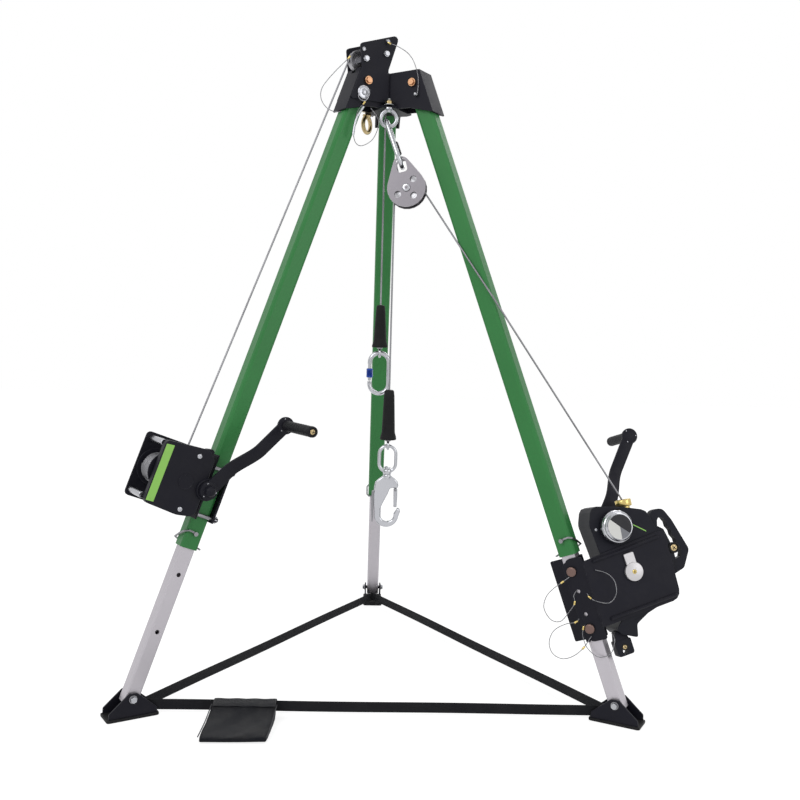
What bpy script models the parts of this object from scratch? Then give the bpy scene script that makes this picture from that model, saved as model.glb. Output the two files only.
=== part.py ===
"""Lifting tripod with a hoisting winch, a fall arrest block and its tackle.

Metres, +Z up. The tripod's axis is near x = y = 0 and the soles stand at z = 0.
The left and right legs face -Y, and the rear leg points along +Y.
"""

from math import acos, asin, atan2, cos, degrees, hypot, pi, radians, sin, sqrt, tan

import bmesh
import bpy
from mathutils import Euler, Matrix, Vector

# Stance: three legs at equal spread, leaning in from the feet to the head
FOOT_RADIUS = 0.650
FOOT_PIN_HEIGHT = 0.045
PIVOT_RADIUS = 0.083
PIVOT_HEIGHT = 1.499
LEGS = {"left": 210.0, "right": 330.0, "rear": 90.0}
LEAN = atan2(FOOT_RADIUS - PIVOT_RADIUS, PIVOT_HEIGHT - FOOT_PIN_HEIGHT)
LEG_LENGTH = hypot(FOOT_RADIUS - PIVOT_RADIUS, PIVOT_HEIGHT - FOOT_PIN_HEIGHT)
MODEL_SHIFT = Vector((-0.0565, -0.1153, 0.0))

GAP = 0.0003  # between pieces that touch
RUNNING = 0.0005  # between pieces that slide or turn in each other

# Leg tubes
TUBE_WIDTH = 0.045
TUBE_DEPTH = 0.043
TUBE_WALL = 0.004
TUBE_CORNER = 0.0075
TUBE_ABOVE_PIVOT = 0.008
TUBE_BELOW_PIVOT = 1.203
INNER_CLEARANCE = 0.0005
INNER_WALL = 0.003
INNER_TOP = 0.860
INNER_PAST_PIN = 0.014
HOLE_PITCH = 0.137
HOLE_ROW = {"left": -1.404, "right": -1.378, "rear": -1.378}
HOLE_COUNT = 4
HOLE_RADIUS = 0.0055

# Head: three arms of bent plate, joined by the plate that holds the eyes
HEAD_PLATE = 0.004
HEAD_HALF_WIDTH = 0.0325
HEAD_TOP = PIVOT_HEIGHT + 0.031
HEAD_BOTTOM = PIVOT_HEIGHT - 0.061
ARM_LIP = PIVOT_HEIGHT - 0.074
END_PLATE_OFFSET = 0.0235
EYE_PLATE_RADIUS = 0.094
EYE_PLATE_THICK = 0.006
PIVOT_BOLT_RADIUS = 0.006
LOCK_PIN_RADIUS = 0.0045
LOCK_PIN_DROP = 0.032
LOCK_DISC_RADIUS = 0.0170

# Pulley bracket on the left arm
CHEEK_PLATE = 0.004
SHEAVE_RADIUS = 0.0260
SHEAVE_WIDTH = 0.014
SHEAVE_BOLT_RADIUS = 0.005
SHEAVES = {"outer": (0.090, HEAD_TOP + 0.020), "inner": (0.033, HEAD_TOP + 0.040)}
CHEEK_LOW = HEAD_BOTTOM + 0.014
CHEEK_STEP = HEAD_TOP + 0.002
CHEEK_PEAK = (-0.006, HEAD_TOP + 0.092)
CHEEK_SHOULDER = (0.106, HEAD_TOP + 0.055)
CHEEK_SPACERS = ((0.096, HEAD_TOP + 0.042), (0.028, HEAD_TOP + 0.071))

# Wire and its fittings
WIRE_RADIUS = 0.0024
BAR_RADIUS = 0.0055

# Hoisting winch on the left leg's outer tube, in that leg's frame
WINCH_LOW = -1.132
WINCH_HIGH = -0.978
WINCH_BACK_X = 0.034
WINCH_FRONT_X = -0.050
WINCH_PLATE = 0.004
WINCH_OUT = 0.174
COVER_DEPTH = 0.021
COVER_OUT = 0.161
DRUM_OUT = 0.128
DRUM_AT = -1.052
DRUM_FLANGE = 0.0435
DRUM_TURNS = 11
TURN_POINTS = 16
WIRE_END = 0.0075  # a straight run of one wire and the bend into it
CRANK_OUT = 0.033
CRANK_AT = -1.061
CRANK_REACH = 0.223
CRANK_STEP = 0.045
CRANK_BAR = 0.008
GRIP_LENGTH = 0.135
GRIP_RADIUS = 0.0125

# Fall arrest block on the right leg's inner tube
ARRESTER_TURN = radians(40.0)
BRACKET_HIGH = -1.211
BRACKET_LOW = -1.409
BRACKET_PLATE = 0.004
BRACKET_PINS = {"upper": -1.241, "lower": -1.378}
BRACKET_PIN_RADIUS = 0.0050
CASE_DEPTH = 0.078
KNOB_AT = (0.104, -1.173)
KNOB_RADIUS = 0.039

# Feet
FOOT_HALF_LENGTH = 0.056
FOOT_PLATE = 0.004
SOLE_THICK = 0.006
SOLE_HALF_WIDTH = 0.029
FOOT_PIN_RADIUS = 0.005
STRAP_TALL = 0.025
STRAP_THICK = 0.0018
STRAP_LOW = 0.009

EYES = {"front_eye": (0.0, -0.060), "side_eye": (-0.054, 0.031)}
EYE_TURNS = {"front_eye": 0.0, "side_eye": radians(62.0)}
EYE_SHANK = 0.006
EYE_RING = 0.0195
EYE_BAR = 0.0052
INNER_WIDTH = TUBE_WIDTH - 2.0 * (TUBE_WALL + INNER_CLEARANCE)
INNER_DEPTH = TUBE_DEPTH - 2.0 * (TUBE_WALL + INNER_CLEARANCE)
LEG_PIN_RADIUS = 0.0042
LEG_PIN_AT = -1.166
BAIL_RADIUS = 0.0024
BAIL_CLEAR = 0.0045
STRAP_REACH = FOOT_RADIUS - 0.022
POUCH_WIDTH = 0.148
POUCH_AT = (-0.300, -STRAP_REACH / 2.0 - 0.016)
CRANK_WIDTH = 0.031
CRANK_END_RADIUS = 0.0200
CRANK_BOSS = 0.020
WINCH_RODS = ((0.158, -0.992), (0.163, -1.117))
DRUM_AXLE = 0.007
DRUM_WOUND = 0.0365
WIRE_OFF_DRUM = -0.008
BRACKET_FOLD = 0.032
PANEL_WIDE = 0.219
PANEL_HIGH = -1.219
PANEL_LOW = -1.378
GLAND_AT = (0.158, -1.1330)
LEVER_AT = (0.113, -1.284)
ANCHOR_AT = (0.0415, -1.4190)
RESCUE_REACH = 0.256
GATE_NOSE = 0.004
GATE_FOOT = 0.006
GATE_HINGE = 0.0033
GATE_BELOW = 0.0015
GATE_KNUCKLE = 0.0032
BLOCK_AT = Vector((0.0483, -0.105, HEAD_BOTTOM - 0.2008))
BLOCK_LEAN = radians(-8.0)
BLOCK_TILT = radians(15.4)
BLOCK_TURN = radians(-11.0)  # the block faces the leg that its wire comes from
BLOCK_POSE = (BLOCK_LEAN, -BLOCK_TILT, BLOCK_TURN)
BLOCK_NORMAL = Euler(BLOCK_POSE).to_matrix().col[1]
BLOCK_SIDE = BLOCK_NORMAL.cross(Vector((0.0, 0.0, 1.0))).normalized()
BLOCK_RISE = BLOCK_SIDE.cross(BLOCK_NORMAL)
WIRE_ON_LEG = ((0.0262, -0.0240, -0.393), (0.0262, 0.0240, -0.565))
BLOCK_HANG = 0.0560
BLOCK_CHEEK = 0.003
BLOCK_SHEAVE = 0.031
BLOCK_SHEAVE_WIDTH = 0.016
BLOCK_AXLE = 0.006
HOIST_AT = (-0.0068, -0.0039)
HOIST_TOP = 0.955
HOOK_AT = (BLOCK_AT - BLOCK_SIDE * BLOCK_SHEAVE)[:2]
HOOK_TOP = 0.745
HOIST_BOOT = 0.108
HOOK_BOOT = 0.124
THIMBLE_DROP = 0.0138
THIMBLE_RADIUS = 0.0095
THIMBLE_BAR = 0.0032

TURN_X = (pi / 2, 0.0, pi / 2)  # a piece drawn in XY stands in YZ and faces +X


def start_scene():
    for obj in list(bpy.data.objects):
        bpy.data.objects.remove(obj)
    parts = bpy.data.collections.new("lifting_tripod")
    cutters = bpy.data.collections.new("cutters")
    for group in (parts, cutters):
        bpy.context.scene.collection.children.link(group)
    return parts, cutters


PARTS, CUTTERS = start_scene()


def finish(name, color, roughness, metallic=0.0):
    made = bpy.data.materials.new(name)
    made.use_nodes = True
    shader = made.node_tree.nodes["Principled BSDF"]
    shader.inputs["Base Color"].default_value = (*color, 1.0)
    shader.inputs["Roughness"].default_value = roughness
    shader.inputs["Metallic"].default_value = metallic
    made.diffuse_color = (*color, 1.0)
    return made


GREEN = finish("green_paint", (0.06, 0.22, 0.08), 0.35)
ALLOY = finish("aluminium", (0.60, 0.60, 0.61), 0.38, 1.0)
BLACK = finish("black_coating", (0.012, 0.013, 0.018), 0.45)
STEEL = finish("bright_steel", (0.66, 0.66, 0.68), 0.22, 1.0)
BRONZE = finish("yellow_zinc", (0.62, 0.40, 0.18), 0.35, 1.0)
RUBBER = finish("black_rubber", (0.012, 0.012, 0.013), 0.62)
WEBBING = finish("black_webbing", (0.010, 0.010, 0.012), 0.85)
BLUE = finish("blue_sleeve", (0.03, 0.06, 0.22), 0.40)


def frame(name, location, rotation=(0.0, 0.0, 0.0), parent=None):
    """An empty on a joint's axis, or where a sub-assembly is fitted."""
    made = bpy.data.objects.new(name, None)
    made.empty_display_size = 0.03
    PARTS.objects.link(made)
    made.parent = parent
    made.location = location
    made.rotation_euler = rotation
    return made


def add(name, mesh, material, parent=None, location=(0, 0, 0), rotation=(0, 0, 0)):
    made = bpy.data.objects.new(name, mesh)
    PARTS.objects.link(made)
    if not mesh.materials:
        mesh.materials.append(material)
    made.parent = parent
    made.location = location
    made.rotation_euler = rotation
    return made


def smooth(mesh, angle=35.0):
    mesh.shade_smooth()
    mesh.set_sharp_from_angle(angle=radians(angle))
    return mesh


def as_mesh(name, curve, material):
    """The curve's solid, with its caps welded, as a mesh."""
    holder = bpy.data.objects.new(name + "_curve", curve)
    PARTS.objects.link(holder)
    graph = bpy.context.evaluated_depsgraph_get()
    mesh = bpy.data.meshes.new_from_object(holder.evaluated_get(graph))
    mesh.name = name
    bpy.data.objects.remove(holder)
    bm = bmesh.new()
    bm.from_mesh(mesh)
    bmesh.ops.remove_doubles(bm, verts=bm.verts, dist=0.00001)
    bmesh.ops.dissolve_degenerate(bm, edges=bm.edges, dist=0.000005)
    bmesh.ops.recalc_face_normals(bm, faces=bm.faces)
    bm.to_mesh(mesh)
    bm.free()
    mesh.materials.clear()
    mesh.materials.append(material)
    return smooth(mesh)


def rounded(corners, steps=3):
    """An outline with each corner (x, y, radius) replaced by an arc."""
    outline = []
    count = len(corners)
    for i, (x, y, radius) in enumerate(corners):
        here = Vector((x, y))
        before = Vector(corners[i - 1][:2]) - here
        after = Vector(corners[(i + 1) % count][:2]) - here
        if radius <= 0.0:
            outline.append(here)
            continue
        half = before.angle(after) / 2.0
        reach = radius / tan(half)
        start = here + before.normalized() * reach
        end = here + after.normalized() * reach
        middle = (before.normalized() + after.normalized()).normalized()
        centre = here + middle * (radius / sin(half))
        first = start - centre
        sweep = first.angle_signed(end - centre)
        for k in range(steps + 1):
            turned = first.copy()
            turned.rotate(Matrix.Rotation(-sweep * k / steps, 2))
            outline.append(centre + turned)
    return outline


def circle(radius, count, x=0.0, y=0.0, start=0.0):
    turns = [start + 2.0 * pi * k / count for k in range(count)]
    return [Vector((x + radius * cos(a), y + radius * sin(a))) for a in turns]


def plate(name, outline, thick, material, holes=(), **place):
    """A flat piece drawn in XY, with its holes, centred on its own plane."""
    curve = bpy.data.curves.new(name, "CURVE")
    curve.dimensions = "2D"
    curve.fill_mode = "BOTH"
    curve.extrude = thick / 2.0
    for points in (outline, *holes):
        spline = curve.splines.new("POLY")
        spline.points.add(len(points) - 1)
        for point, at in zip(spline.points, points):
            point.co = (at[0], at[1], 0.0, 1.0)
        spline.use_cyclic_u = True
    return add(name, as_mesh(name, curve, material), material, **place)


def wire(name, points, radius, material, cyclic=False, resolution=2, **place):
    """A round bar or a wire along the points."""
    curve = bpy.data.curves.new(name, "CURVE")
    curve.dimensions = "3D"
    curve.bevel_depth = radius
    curve.bevel_resolution = resolution
    curve.use_fill_caps = True
    spline = curve.splines.new("POLY")
    spline.points.add(len(points) - 1)
    for point, at in zip(spline.points, points):
        point.co = (*at, 1.0)
    spline.use_cyclic_u = cyclic
    return add(name, as_mesh(name, curve, material), material, **place)


def turned(name, profile, material, steps=20, **place):
    """A turned piece: its profile (radius, height) runs down its outer side."""
    mesh = bpy.data.meshes.new(name)
    points = [(radius, 0.0, height) for radius, height in profile]
    mesh.from_pydata(points, [(i, i + 1) for i in range(len(points) - 1)], [])
    made = add(name, mesh, material, **place)
    spin = made.modifiers.new("turn", "SCREW")
    spin.axis = "Z"
    spin.steps = steps
    spin.render_steps = steps
    spin.use_merge_vertices = True
    spin.merge_threshold = 0.00001
    spin.use_smooth_shade = True
    return made


def ring_turned(name, profile, material, steps=20, **place):
    """A turned piece with a bore: its profile closes on itself."""
    return turned(name, [*profile, profile[0]], material, steps, **place)


def cylinder(name, radius, length, material, steps=16, **place):
    bm = bmesh.new()
    bmesh.ops.create_cone(
        bm, cap_ends=True, segments=steps, radius1=radius, radius2=radius, depth=length
    )
    mesh = bpy.data.meshes.new(name)
    bm.to_mesh(mesh)
    bm.free()
    return add(name, smooth(mesh), material, **place)


def block(name, low, high, material, bevel=0.0, **place):
    """A box from its lowest to its highest corner, with its edges bevelled."""
    bm = bmesh.new()
    bmesh.ops.create_cube(bm, size=1.0)
    size = Vector(high) - Vector(low)
    middle = (Vector(high) + Vector(low)) / 2.0
    bmesh.ops.scale(bm, vec=size, verts=bm.verts)
    bmesh.ops.translate(bm, vec=middle, verts=bm.verts)
    mesh = bpy.data.meshes.new(name)
    bm.to_mesh(mesh)
    bm.free()
    made = add(name, mesh, material, **place)
    if bevel:
        edge = made.modifiers.new("edges", "BEVEL")
        edge.width = bevel
        edge.segments = 1
    return made


def helper(tool):
    """Moves a piece that only shapes another one out of the render."""
    PARTS.objects.unlink(tool)
    CUTTERS.objects.link(tool)
    tool.hide_render = True
    tool.display_type = "WIRE"
    return tool


def shape(made, tool, operation):
    change = made.modifiers.new(tool.name, "BOOLEAN")
    change.operation = operation
    change.solver = "EXACT"
    change.object = helper(tool)
    return made


def cut(made, tool):
    return shape(made, tool, "DIFFERENCE")


def fuse(made, tool):
    return shape(made, tool, "UNION")


def arc(centre, radius, first, last, steps):
    """Points (x, y) on an arc, its ends given in degrees."""
    turns = [radians(first + (last - first) * k / steps) for k in range(steps + 1)]
    return [Vector((centre[0] + radius * cos(a), centre[1] + radius * sin(a))) for a in turns]


def box_outline(x0, y0, x1, y1, radius):
    return [(x0, y0, radius), (x1, y0, radius), (x1, y1, radius), (x0, y1, radius)]


# Head


def arm_frame(head, side):
    """Local X across the arm, Y outward along it, Z up, from the tripod's axis."""
    return frame("arm_" + side, (0, 0, 0), (0, 0, radians(LEGS[side] - 90.0)), head)


def lean_out(height, offset):
    """How far from the axis a face stands that is parallel to the leg's centreline."""
    return PIVOT_RADIUS + (PIVOT_HEIGHT - height) * tan(LEAN) + offset / cos(LEAN)


def arm_side_outline(sign):
    """Each arm's far plate runs on past the near plate of the next arm, to its weld."""
    corner = HEAD_HALF_WIDTH / sqrt(3.0) - (0.0062 if sign > 0 else 0.0024)
    inner_top = HEAD_TOP - (0.0046 if sign > 0 else 0.0040)
    low = HEAD_BOTTOM + 0.001
    return rounded(
        [
            (corner, low, 0.0),
            (corner, inner_top, 0.0),
            (lean_out(HEAD_TOP, END_PLATE_OFFSET + HEAD_PLATE), HEAD_TOP, 0.004),
            (lean_out(ARM_LIP, END_PLATE_OFFSET + HEAD_PLATE), ARM_LIP, 0.003),
            (lean_out(HEAD_BOTTOM, 0.0) - 0.030, low, 0.0),
        ],
        1,
    )


def head_frame(head):
    """Bent plate round the tops of the legs, welded to the plate for the eyes."""
    outline = []
    for i in range(3):
        middle = radians(150.0 + 120.0 * i)
        outline.append((EYE_PLATE_RADIUS * cos(middle), EYE_PLATE_RADIUS * sin(middle), 0.030))
    made = plate(
        "head_frame", rounded(outline, 3), EYE_PLATE_THICK, BLACK, parent=head,
        location=(0, 0, HEAD_BOTTOM + EYE_PLATE_THICK / 2.0),
    )
    for side in LEGS:
        arm = arm_frame(head, side)
        for sign in (-1, 1):
            offset = sign * (HEAD_HALF_WIDTH - HEAD_PLATE / 2.0)
            fuse(made, plate(
                f"arm_{side}_side_{sign}", arm_side_outline(sign), HEAD_PLATE, BLACK,
                parent=arm, location=(offset, 0, 0), rotation=TURN_X,
            ))
        end_height = (HEAD_TOP - ARM_LIP) / cos(LEAN) - 0.002
        middle = (HEAD_TOP + ARM_LIP) / 2.0
        fuse(made, block(
            f"arm_{side}_end",
            (-HEAD_HALF_WIDTH, -HEAD_PLATE / 2.0, -end_height / 2.0),
            (HEAD_HALF_WIDTH, HEAD_PLATE / 2.0, end_height / 2.0), BLACK, parent=arm,
            location=(0, lean_out(middle, END_PLATE_OFFSET + HEAD_PLATE / 2.0), middle),
            rotation=(LEAN, 0, 0),
        ))
    for side in LEGS:
        leg_opening(made, head, side)
        head_holes(made, head, side)
    cut(made, block("sheave_notch", (-0.0095, 0.060, HEAD_TOP - 0.0095), (0.0095, 0.125, HEAD_TOP + 0.010), BLACK,
                    parent=bpy.data.objects["arm_left"]))
    for name, at in EYES.items():
        cut(made, cylinder(
            f"{name}_hole", EYE_SHANK + GAP, 0.03, BLACK, 12, parent=head,
            location=(at[0], at[1], HEAD_BOTTOM),
        ))
    cut(made, cylinder("wire_hole", 0.020, 0.03, BLACK, 16, parent=head,
                       location=(0, 0, HEAD_BOTTOM)))
    return made


def leg_opening(made, head, side):
    """The eye plate is cut away where the leg's tube swings."""
    arm = bpy.data.objects["arm_" + side]
    wide = HEAD_HALF_WIDTH - HEAD_PLATE - GAP
    cut(made, block(
        f"arm_{side}_opening", (-wide, 0.040, HEAD_BOTTOM - 0.02),
        (wide, 0.128, HEAD_BOTTOM + EYE_PLATE_THICK + 0.004), BLACK, parent=arm,
    ))


def head_holes(made, head, side):
    """Holes for the leg's pivot bolt and its lock pin, right across the arm."""
    pivot = bpy.data.objects[f"leg_{side}_hinge"]
    for label, radius, drop in (
        ("pivot", PIVOT_BOLT_RADIUS, 0.0), ("lock", LOCK_PIN_RADIUS, LOCK_PIN_DROP),
    ):
        cut(made, cylinder(
            f"arm_{side}_{label}_hole", radius + RUNNING, 0.1, BLACK, 10, parent=pivot,
            location=(0, 0, -drop), rotation=TURN_X,
        ))


def eye_bolt(head, name):
    """A forged eye under the plate, its collar, its shank and the nut above."""
    x, y = EYES[name]
    under = HEAD_BOTTOM - GAP
    over = HEAD_BOTTOM + EYE_PLATE_THICK + GAP
    ring_at = under - 0.006 - EYE_RING
    hook = frame(name + "_frame", (x, y, 0), (0, 0, EYE_TURNS[name]), head)
    made = turned(name, [
        (0.0, over + 0.016), (0.0052, over + 0.016), (0.0052, over + 0.011),
        (0.0095, over + 0.010), (0.0095, over), (EYE_SHANK, over), (EYE_SHANK, under),
        (0.0105, under), (0.0105, under - 0.004), (0.006, under - 0.008), (0.0, under - 0.009),
    ], STEEL if name == "front_eye" else BRONZE, 12, parent=hook)
    points = [(p.x, 0.0, p.y) for p in circle(EYE_RING, 14, 0.0, ring_at)]
    fuse(made, wire(name + "_ring", points, EYE_BAR, STEEL, True, 1, parent=hook))


def pivot_bolt(side):
    """Shank through the cheeks and the tube, with the bushes that centre the tube."""
    hinge = bpy.data.objects[f"leg_{side}_hinge"]
    out = HEAD_HALF_WIDTH + GAP + (CHEEK_PLATE + GAP if side == "left" else 0.0)
    inside = HEAD_HALF_WIDTH - HEAD_PLATE - GAP
    tube = TUBE_WIDTH / 2.0 + GAP
    head_top = out + 0.006
    r = PIVOT_BOLT_RADIUS
    profile = [(0.0, head_top), (0.0082, head_top), (0.0092, head_top - 0.001), (0.0092, out)]
    profile += [(r, out), (r, inside), (0.011, inside), (0.011, tube), (r, tube)]
    profile += [(radius, -height) for radius, height in reversed(profile)]
    return turned(f"pivot_bolt_{side}", profile, BRONZE, 10, parent=hinge, rotation=TURN_X)


def lock_pin(head, side):
    """A pull pin whose disc head is gripped to free the leg."""
    hinge = bpy.data.objects[f"leg_{side}_hinge"]
    out = HEAD_HALF_WIDTH + GAP + (CHEEK_PLATE + GAP if side == "left" else 0.0)
    tip = TUBE_WIDTH / 2.0 + 2.0 * GAP
    local = Matrix.Translation(hinge.location) @ hinge.rotation_euler.to_matrix().to_4x4()
    at = local @ Vector((0, 0, -LOCK_PIN_DROP))
    slide = frame(f"lock_pin_{side}_slide", at, hinge.rotation_euler, head)
    profile = [
        (0.0, -tip), (LOCK_PIN_RADIUS, -tip), (LOCK_PIN_RADIUS, -out),
        (LOCK_DISC_RADIUS, -out), (LOCK_DISC_RADIUS, -out - 0.003),
        (LOCK_DISC_RADIUS - 0.0015, -out - 0.0045), (0.0085, -out - 0.0045),
        (0.0075, -out - 0.007), (0.0, -out - 0.007),
    ]
    return turned(f"lock_pin_{side}", profile, STEEL, 12, parent=slide, rotation=TURN_X)


def head_assembly(head):
    head_frame(head)
    for name in EYES:
        eye_bolt(head, name)
    for side in LEGS:
        pivot_bolt(side)
        lock_pin(head, side)


# Pulley bracket on the left arm


def cheek_outline():
    top_out = lean_out(HEAD_TOP, END_PLATE_OFFSET + HEAD_PLATE) - 0.001
    low_out = lean_out(CHEEK_LOW, END_PLATE_OFFSET + HEAD_PLATE) - 0.001
    corner = HEAD_HALF_WIDTH / sqrt(3.0) + 0.006
    return rounded([
        (corner, CHEEK_LOW, 0.004), (corner, CHEEK_STEP, 0.006), (*CHEEK_PEAK, 0.009),
        (*CHEEK_SHOULDER, 0.008), (top_out, HEAD_TOP, 0.006), (low_out, CHEEK_LOW, 0.004),
    ], 3)


def pulley_bracket(head):
    """Two cheeks bolted outside the left arm carry the sheaves that lead the wire."""
    arm = bpy.data.objects["arm_left"]
    middle = HEAD_HALF_WIDTH + GAP + CHEEK_PLATE / 2.0
    hinge = bpy.data.objects["leg_left_hinge"]
    for label, sign in (("near", -1), ("far", 1)):
        made = plate(
            "pulley_cheek_" + label, cheek_outline(), CHEEK_PLATE, BLACK,
            [circle(SHEAVE_BOLT_RADIUS + GAP, 12, *at) for at in SHEAVES.values()]
            + [circle(0.0032, 8, *at) for at in CHEEK_SPACERS],
            parent=arm, location=(sign * middle, 0, 0), rotation=TURN_X,
        )
        for tag, radius, drop in (
            ("pivot", PIVOT_BOLT_RADIUS, 0.0), ("lock", LOCK_PIN_RADIUS, LOCK_PIN_DROP),
        ):
            cut(made, cylinder(
                f"cheek_{label}_{tag}_hole", radius + RUNNING, 0.2, BLACK, 10, parent=hinge,
                location=(0, 0, -drop), rotation=TURN_X,
            ))
    for name, at in SHEAVES.items():
        sheave(arm, name, at, middle + CHEEK_PLATE / 2.0)


def sheave(arm, name, at, outside):
    axle = frame(f"sheave_{name}_axis", (0, *at), (0, 0, 0), arm)
    groove = WIRE_RADIUS + 0.0012
    rim = SHEAVE_RADIUS
    half = SHEAVE_WIDTH / 2.0
    bore = SHEAVE_BOLT_RADIUS + RUNNING
    ring_turned(f"sheave_{name}", [
        (bore, half), (0.010, half), (rim - 0.007, half - 0.003), (rim - 0.005, half),
        (rim, half), (rim, groove), (rim - 0.004, 0.0015), (rim - 0.004, -0.0015),
        (rim, -groove), (rim, -half), (rim - 0.005, -half), (rim - 0.007, 0.003 - half),
        (0.010, -half), (bore, -half),
    ], ALLOY, 14, parent=axle, rotation=TURN_X)
    r = SHEAVE_BOLT_RADIUS
    bush = half + RUNNING
    inner = HEAD_HALF_WIDTH
    out = outside + GAP
    profile = [(0.0, out + 0.005), (0.0075, out + 0.004), (0.0085, out), (r, out), (r, inner)]
    profile += [(0.0085, inner), (0.0085, bush), (r, bush)]
    profile += [(radius, -height) for radius, height in reversed(profile)]
    turned(f"sheave_bolt_{name}", profile, STEEL, 8, parent=axle, rotation=TURN_X)


# Legs


def tube_section(width, depth, corner):
    return rounded(box_outline(-width / 2, -depth / 2, width / 2, depth / 2, corner), 2)


def square_tube(name, width, depth, wall, corner, low, high, material, **place):
    outer = tube_section(width, depth, corner)
    inner = tube_section(width - 2 * wall, depth - 2 * wall, max(0.001, corner - wall))
    return plate(name, outer, high - low, material, [inner],
                 location=(0, 0, (high + low) / 2.0), **place)


def outer_tube(side):
    hinge = bpy.data.objects[f"leg_{side}_hinge"]
    made = square_tube(f"outer_tube_{side}", TUBE_WIDTH, TUBE_DEPTH, TUBE_WALL, TUBE_CORNER,
                       -TUBE_BELOW_PIVOT, TUBE_ABOVE_PIVOT, GREEN, parent=hinge)
    for label, radius, at in (
        ("pivot", PIVOT_BOLT_RADIUS, 0.0), ("lock", LOCK_PIN_RADIUS, -LOCK_PIN_DROP),
        ("pin", LEG_PIN_RADIUS, LEG_PIN_AT),
    ):
        cut(made, cylinder(f"outer_{side}_{label}_hole", radius + RUNNING, 0.1, GREEN, 10,
                           parent=hinge, location=(0, 0, at), rotation=TURN_X))
    return made


def inner_tube(side):
    """Slides in the outer tube, with a row of holes for the leg pin."""
    slide = bpy.data.objects[f"leg_{side}_slide"]
    low = -LEG_LENGTH - INNER_PAST_PIN
    made = square_tube(f"inner_tube_{side}", INNER_WIDTH, INNER_DEPTH, INNER_WALL,
                       TUBE_CORNER - TUBE_WALL, low, -INNER_TOP, ALLOY, parent=slide)
    rows = [HOLE_ROW[side] + HOLE_PITCH * k for k in range(HOLE_COUNT)]
    for k, at in enumerate(rows):
        cut(made, cylinder(f"inner_{side}_hole_{k}", HOLE_RADIUS, 0.1, ALLOY, 8,
                           parent=slide, location=(0, 0, at), rotation=TURN_X))
    cut(made, cylinder(f"inner_{side}_foot_hole", FOOT_PIN_RADIUS + RUNNING, 0.1, ALLOY, 12,
                       parent=slide, location=(0, 0, -LEG_LENGTH), rotation=TURN_X))
    return made


def leg_pin(side):
    """Pin whose sprung wire bail wraps round the tube below it."""
    hinge = bpy.data.objects[f"leg_{side}_hinge"]
    face = -1 if side == "left" else 1
    slide = frame(f"leg_pin_{side}_slide", (0, 0, LEG_PIN_AT), (0, 0, 0), hinge)
    wide = TUBE_WIDTH / 2.0 + BAIL_CLEAR
    deep = TUBE_DEPTH / 2.0 + BAIL_CLEAR
    tip = INNER_WIDTH / 2.0 + 2.0 * GAP
    out = wide + 0.004
    made = turned(f"leg_pin_{side}", [
        (0.0, out), (LEG_PIN_RADIUS + 0.001, out), (LEG_PIN_RADIUS + 0.001, wide - 0.003),
        (LEG_PIN_RADIUS, wide - 0.003), (LEG_PIN_RADIUS, tip), (0.0, tip),
    ], STEEL, 10, parent=slide, rotation=(pi / 2, 0.0, face * pi / 2))
    drop = -0.022
    lip = 0.010
    route = [
        (wide, 0.0, 0.0), (wide + 0.001, 0.008, 0.003), (wide, deep * 0.7, 0.004),
        (wide * 0.8, deep, 0.0), (0.0, deep + 0.001, drop * 0.45), (-wide * 0.8, deep, drop),
        (-wide, deep * 0.7, drop - 0.003), (-wide, 0.0, drop - 0.006),
        (-wide, -deep * 0.7, drop - 0.008), (-wide * 0.8, -deep, drop - lip),
        (0.0, -deep - 0.001, drop - lip), (wide * 0.75, -deep, drop - lip),
    ]
    points = [(face * x, y, z) for x, y, z in route]
    fuse(made, wire(f"leg_bail_{side}", points, BAIL_RADIUS, STEEL, False, 1, parent=slide))
    return made


def foot(side):
    """A channel of bent plate that tips on its pin, with a rubber sole's outline."""
    pivot = bpy.data.objects[f"foot_{side}_pivot"]
    ear_in = INNER_WIDTH / 2.0 + 0.0035
    low = -FOOT_PIN_HEIGHT
    ear = rounded([
        (-FOOT_HALF_LENGTH, low + 0.001, 0.0), (FOOT_HALF_LENGTH, low + 0.001, 0.0),
        (FOOT_HALF_LENGTH - 0.001, low + 0.019, 0.004), (0.010, 0.013, 0.012),
        (-0.010, 0.013, 0.012), (-FOOT_HALF_LENGTH + 0.001, low + 0.019, 0.004),
    ], 2)
    sole = rounded(box_outline(-SOLE_HALF_WIDTH, -FOOT_HALF_LENGTH - 0.004,
                               SOLE_HALF_WIDTH, FOOT_HALF_LENGTH + 0.004, 0.006), 2)
    made = plate(f"foot_{side}", sole, SOLE_THICK, BLACK, parent=pivot,
                 location=(0, 0, low + SOLE_THICK / 2.0))
    for sign in (-1, 1):
        fuse(made, plate(f"foot_{side}_ear_{sign}", ear, FOOT_PLATE, BLACK, parent=pivot,
                         location=(sign * (ear_in + FOOT_PLATE / 2.0), 0, 0), rotation=TURN_X))
    outside = ear_in + FOOT_PLATE + 0.004
    fuse(made, cylinder(f"foot_{side}_pin", FOOT_PIN_RADIUS, 2.0 * outside, STEEL, 12,
                        parent=pivot, rotation=TURN_X))
    return made


def leg(head, side):
    """Empties on the leg's hinge, its slide and its foot's pin, and what each carries."""
    turn = radians(LEGS[side])
    at = (PIVOT_RADIUS * cos(turn), PIVOT_RADIUS * sin(turn), PIVOT_HEIGHT)
    hinge = frame(f"leg_{side}_hinge", at, (LEAN, 0, turn - pi / 2), head)
    slide = frame(f"leg_{side}_slide", (0, 0, 0), (0, 0, 0), hinge)
    frame(f"foot_{side}_pivot", (0, 0, -LEG_LENGTH), (-LEAN, 0, 0), slide)
    outer_tube(side)
    inner_tube(side)
    leg_pin(side)
    foot(side)


def strap_corner(side, radius):
    turn = radians(LEGS[side])
    return (radius * cos(turn), radius * sin(turn))


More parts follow.
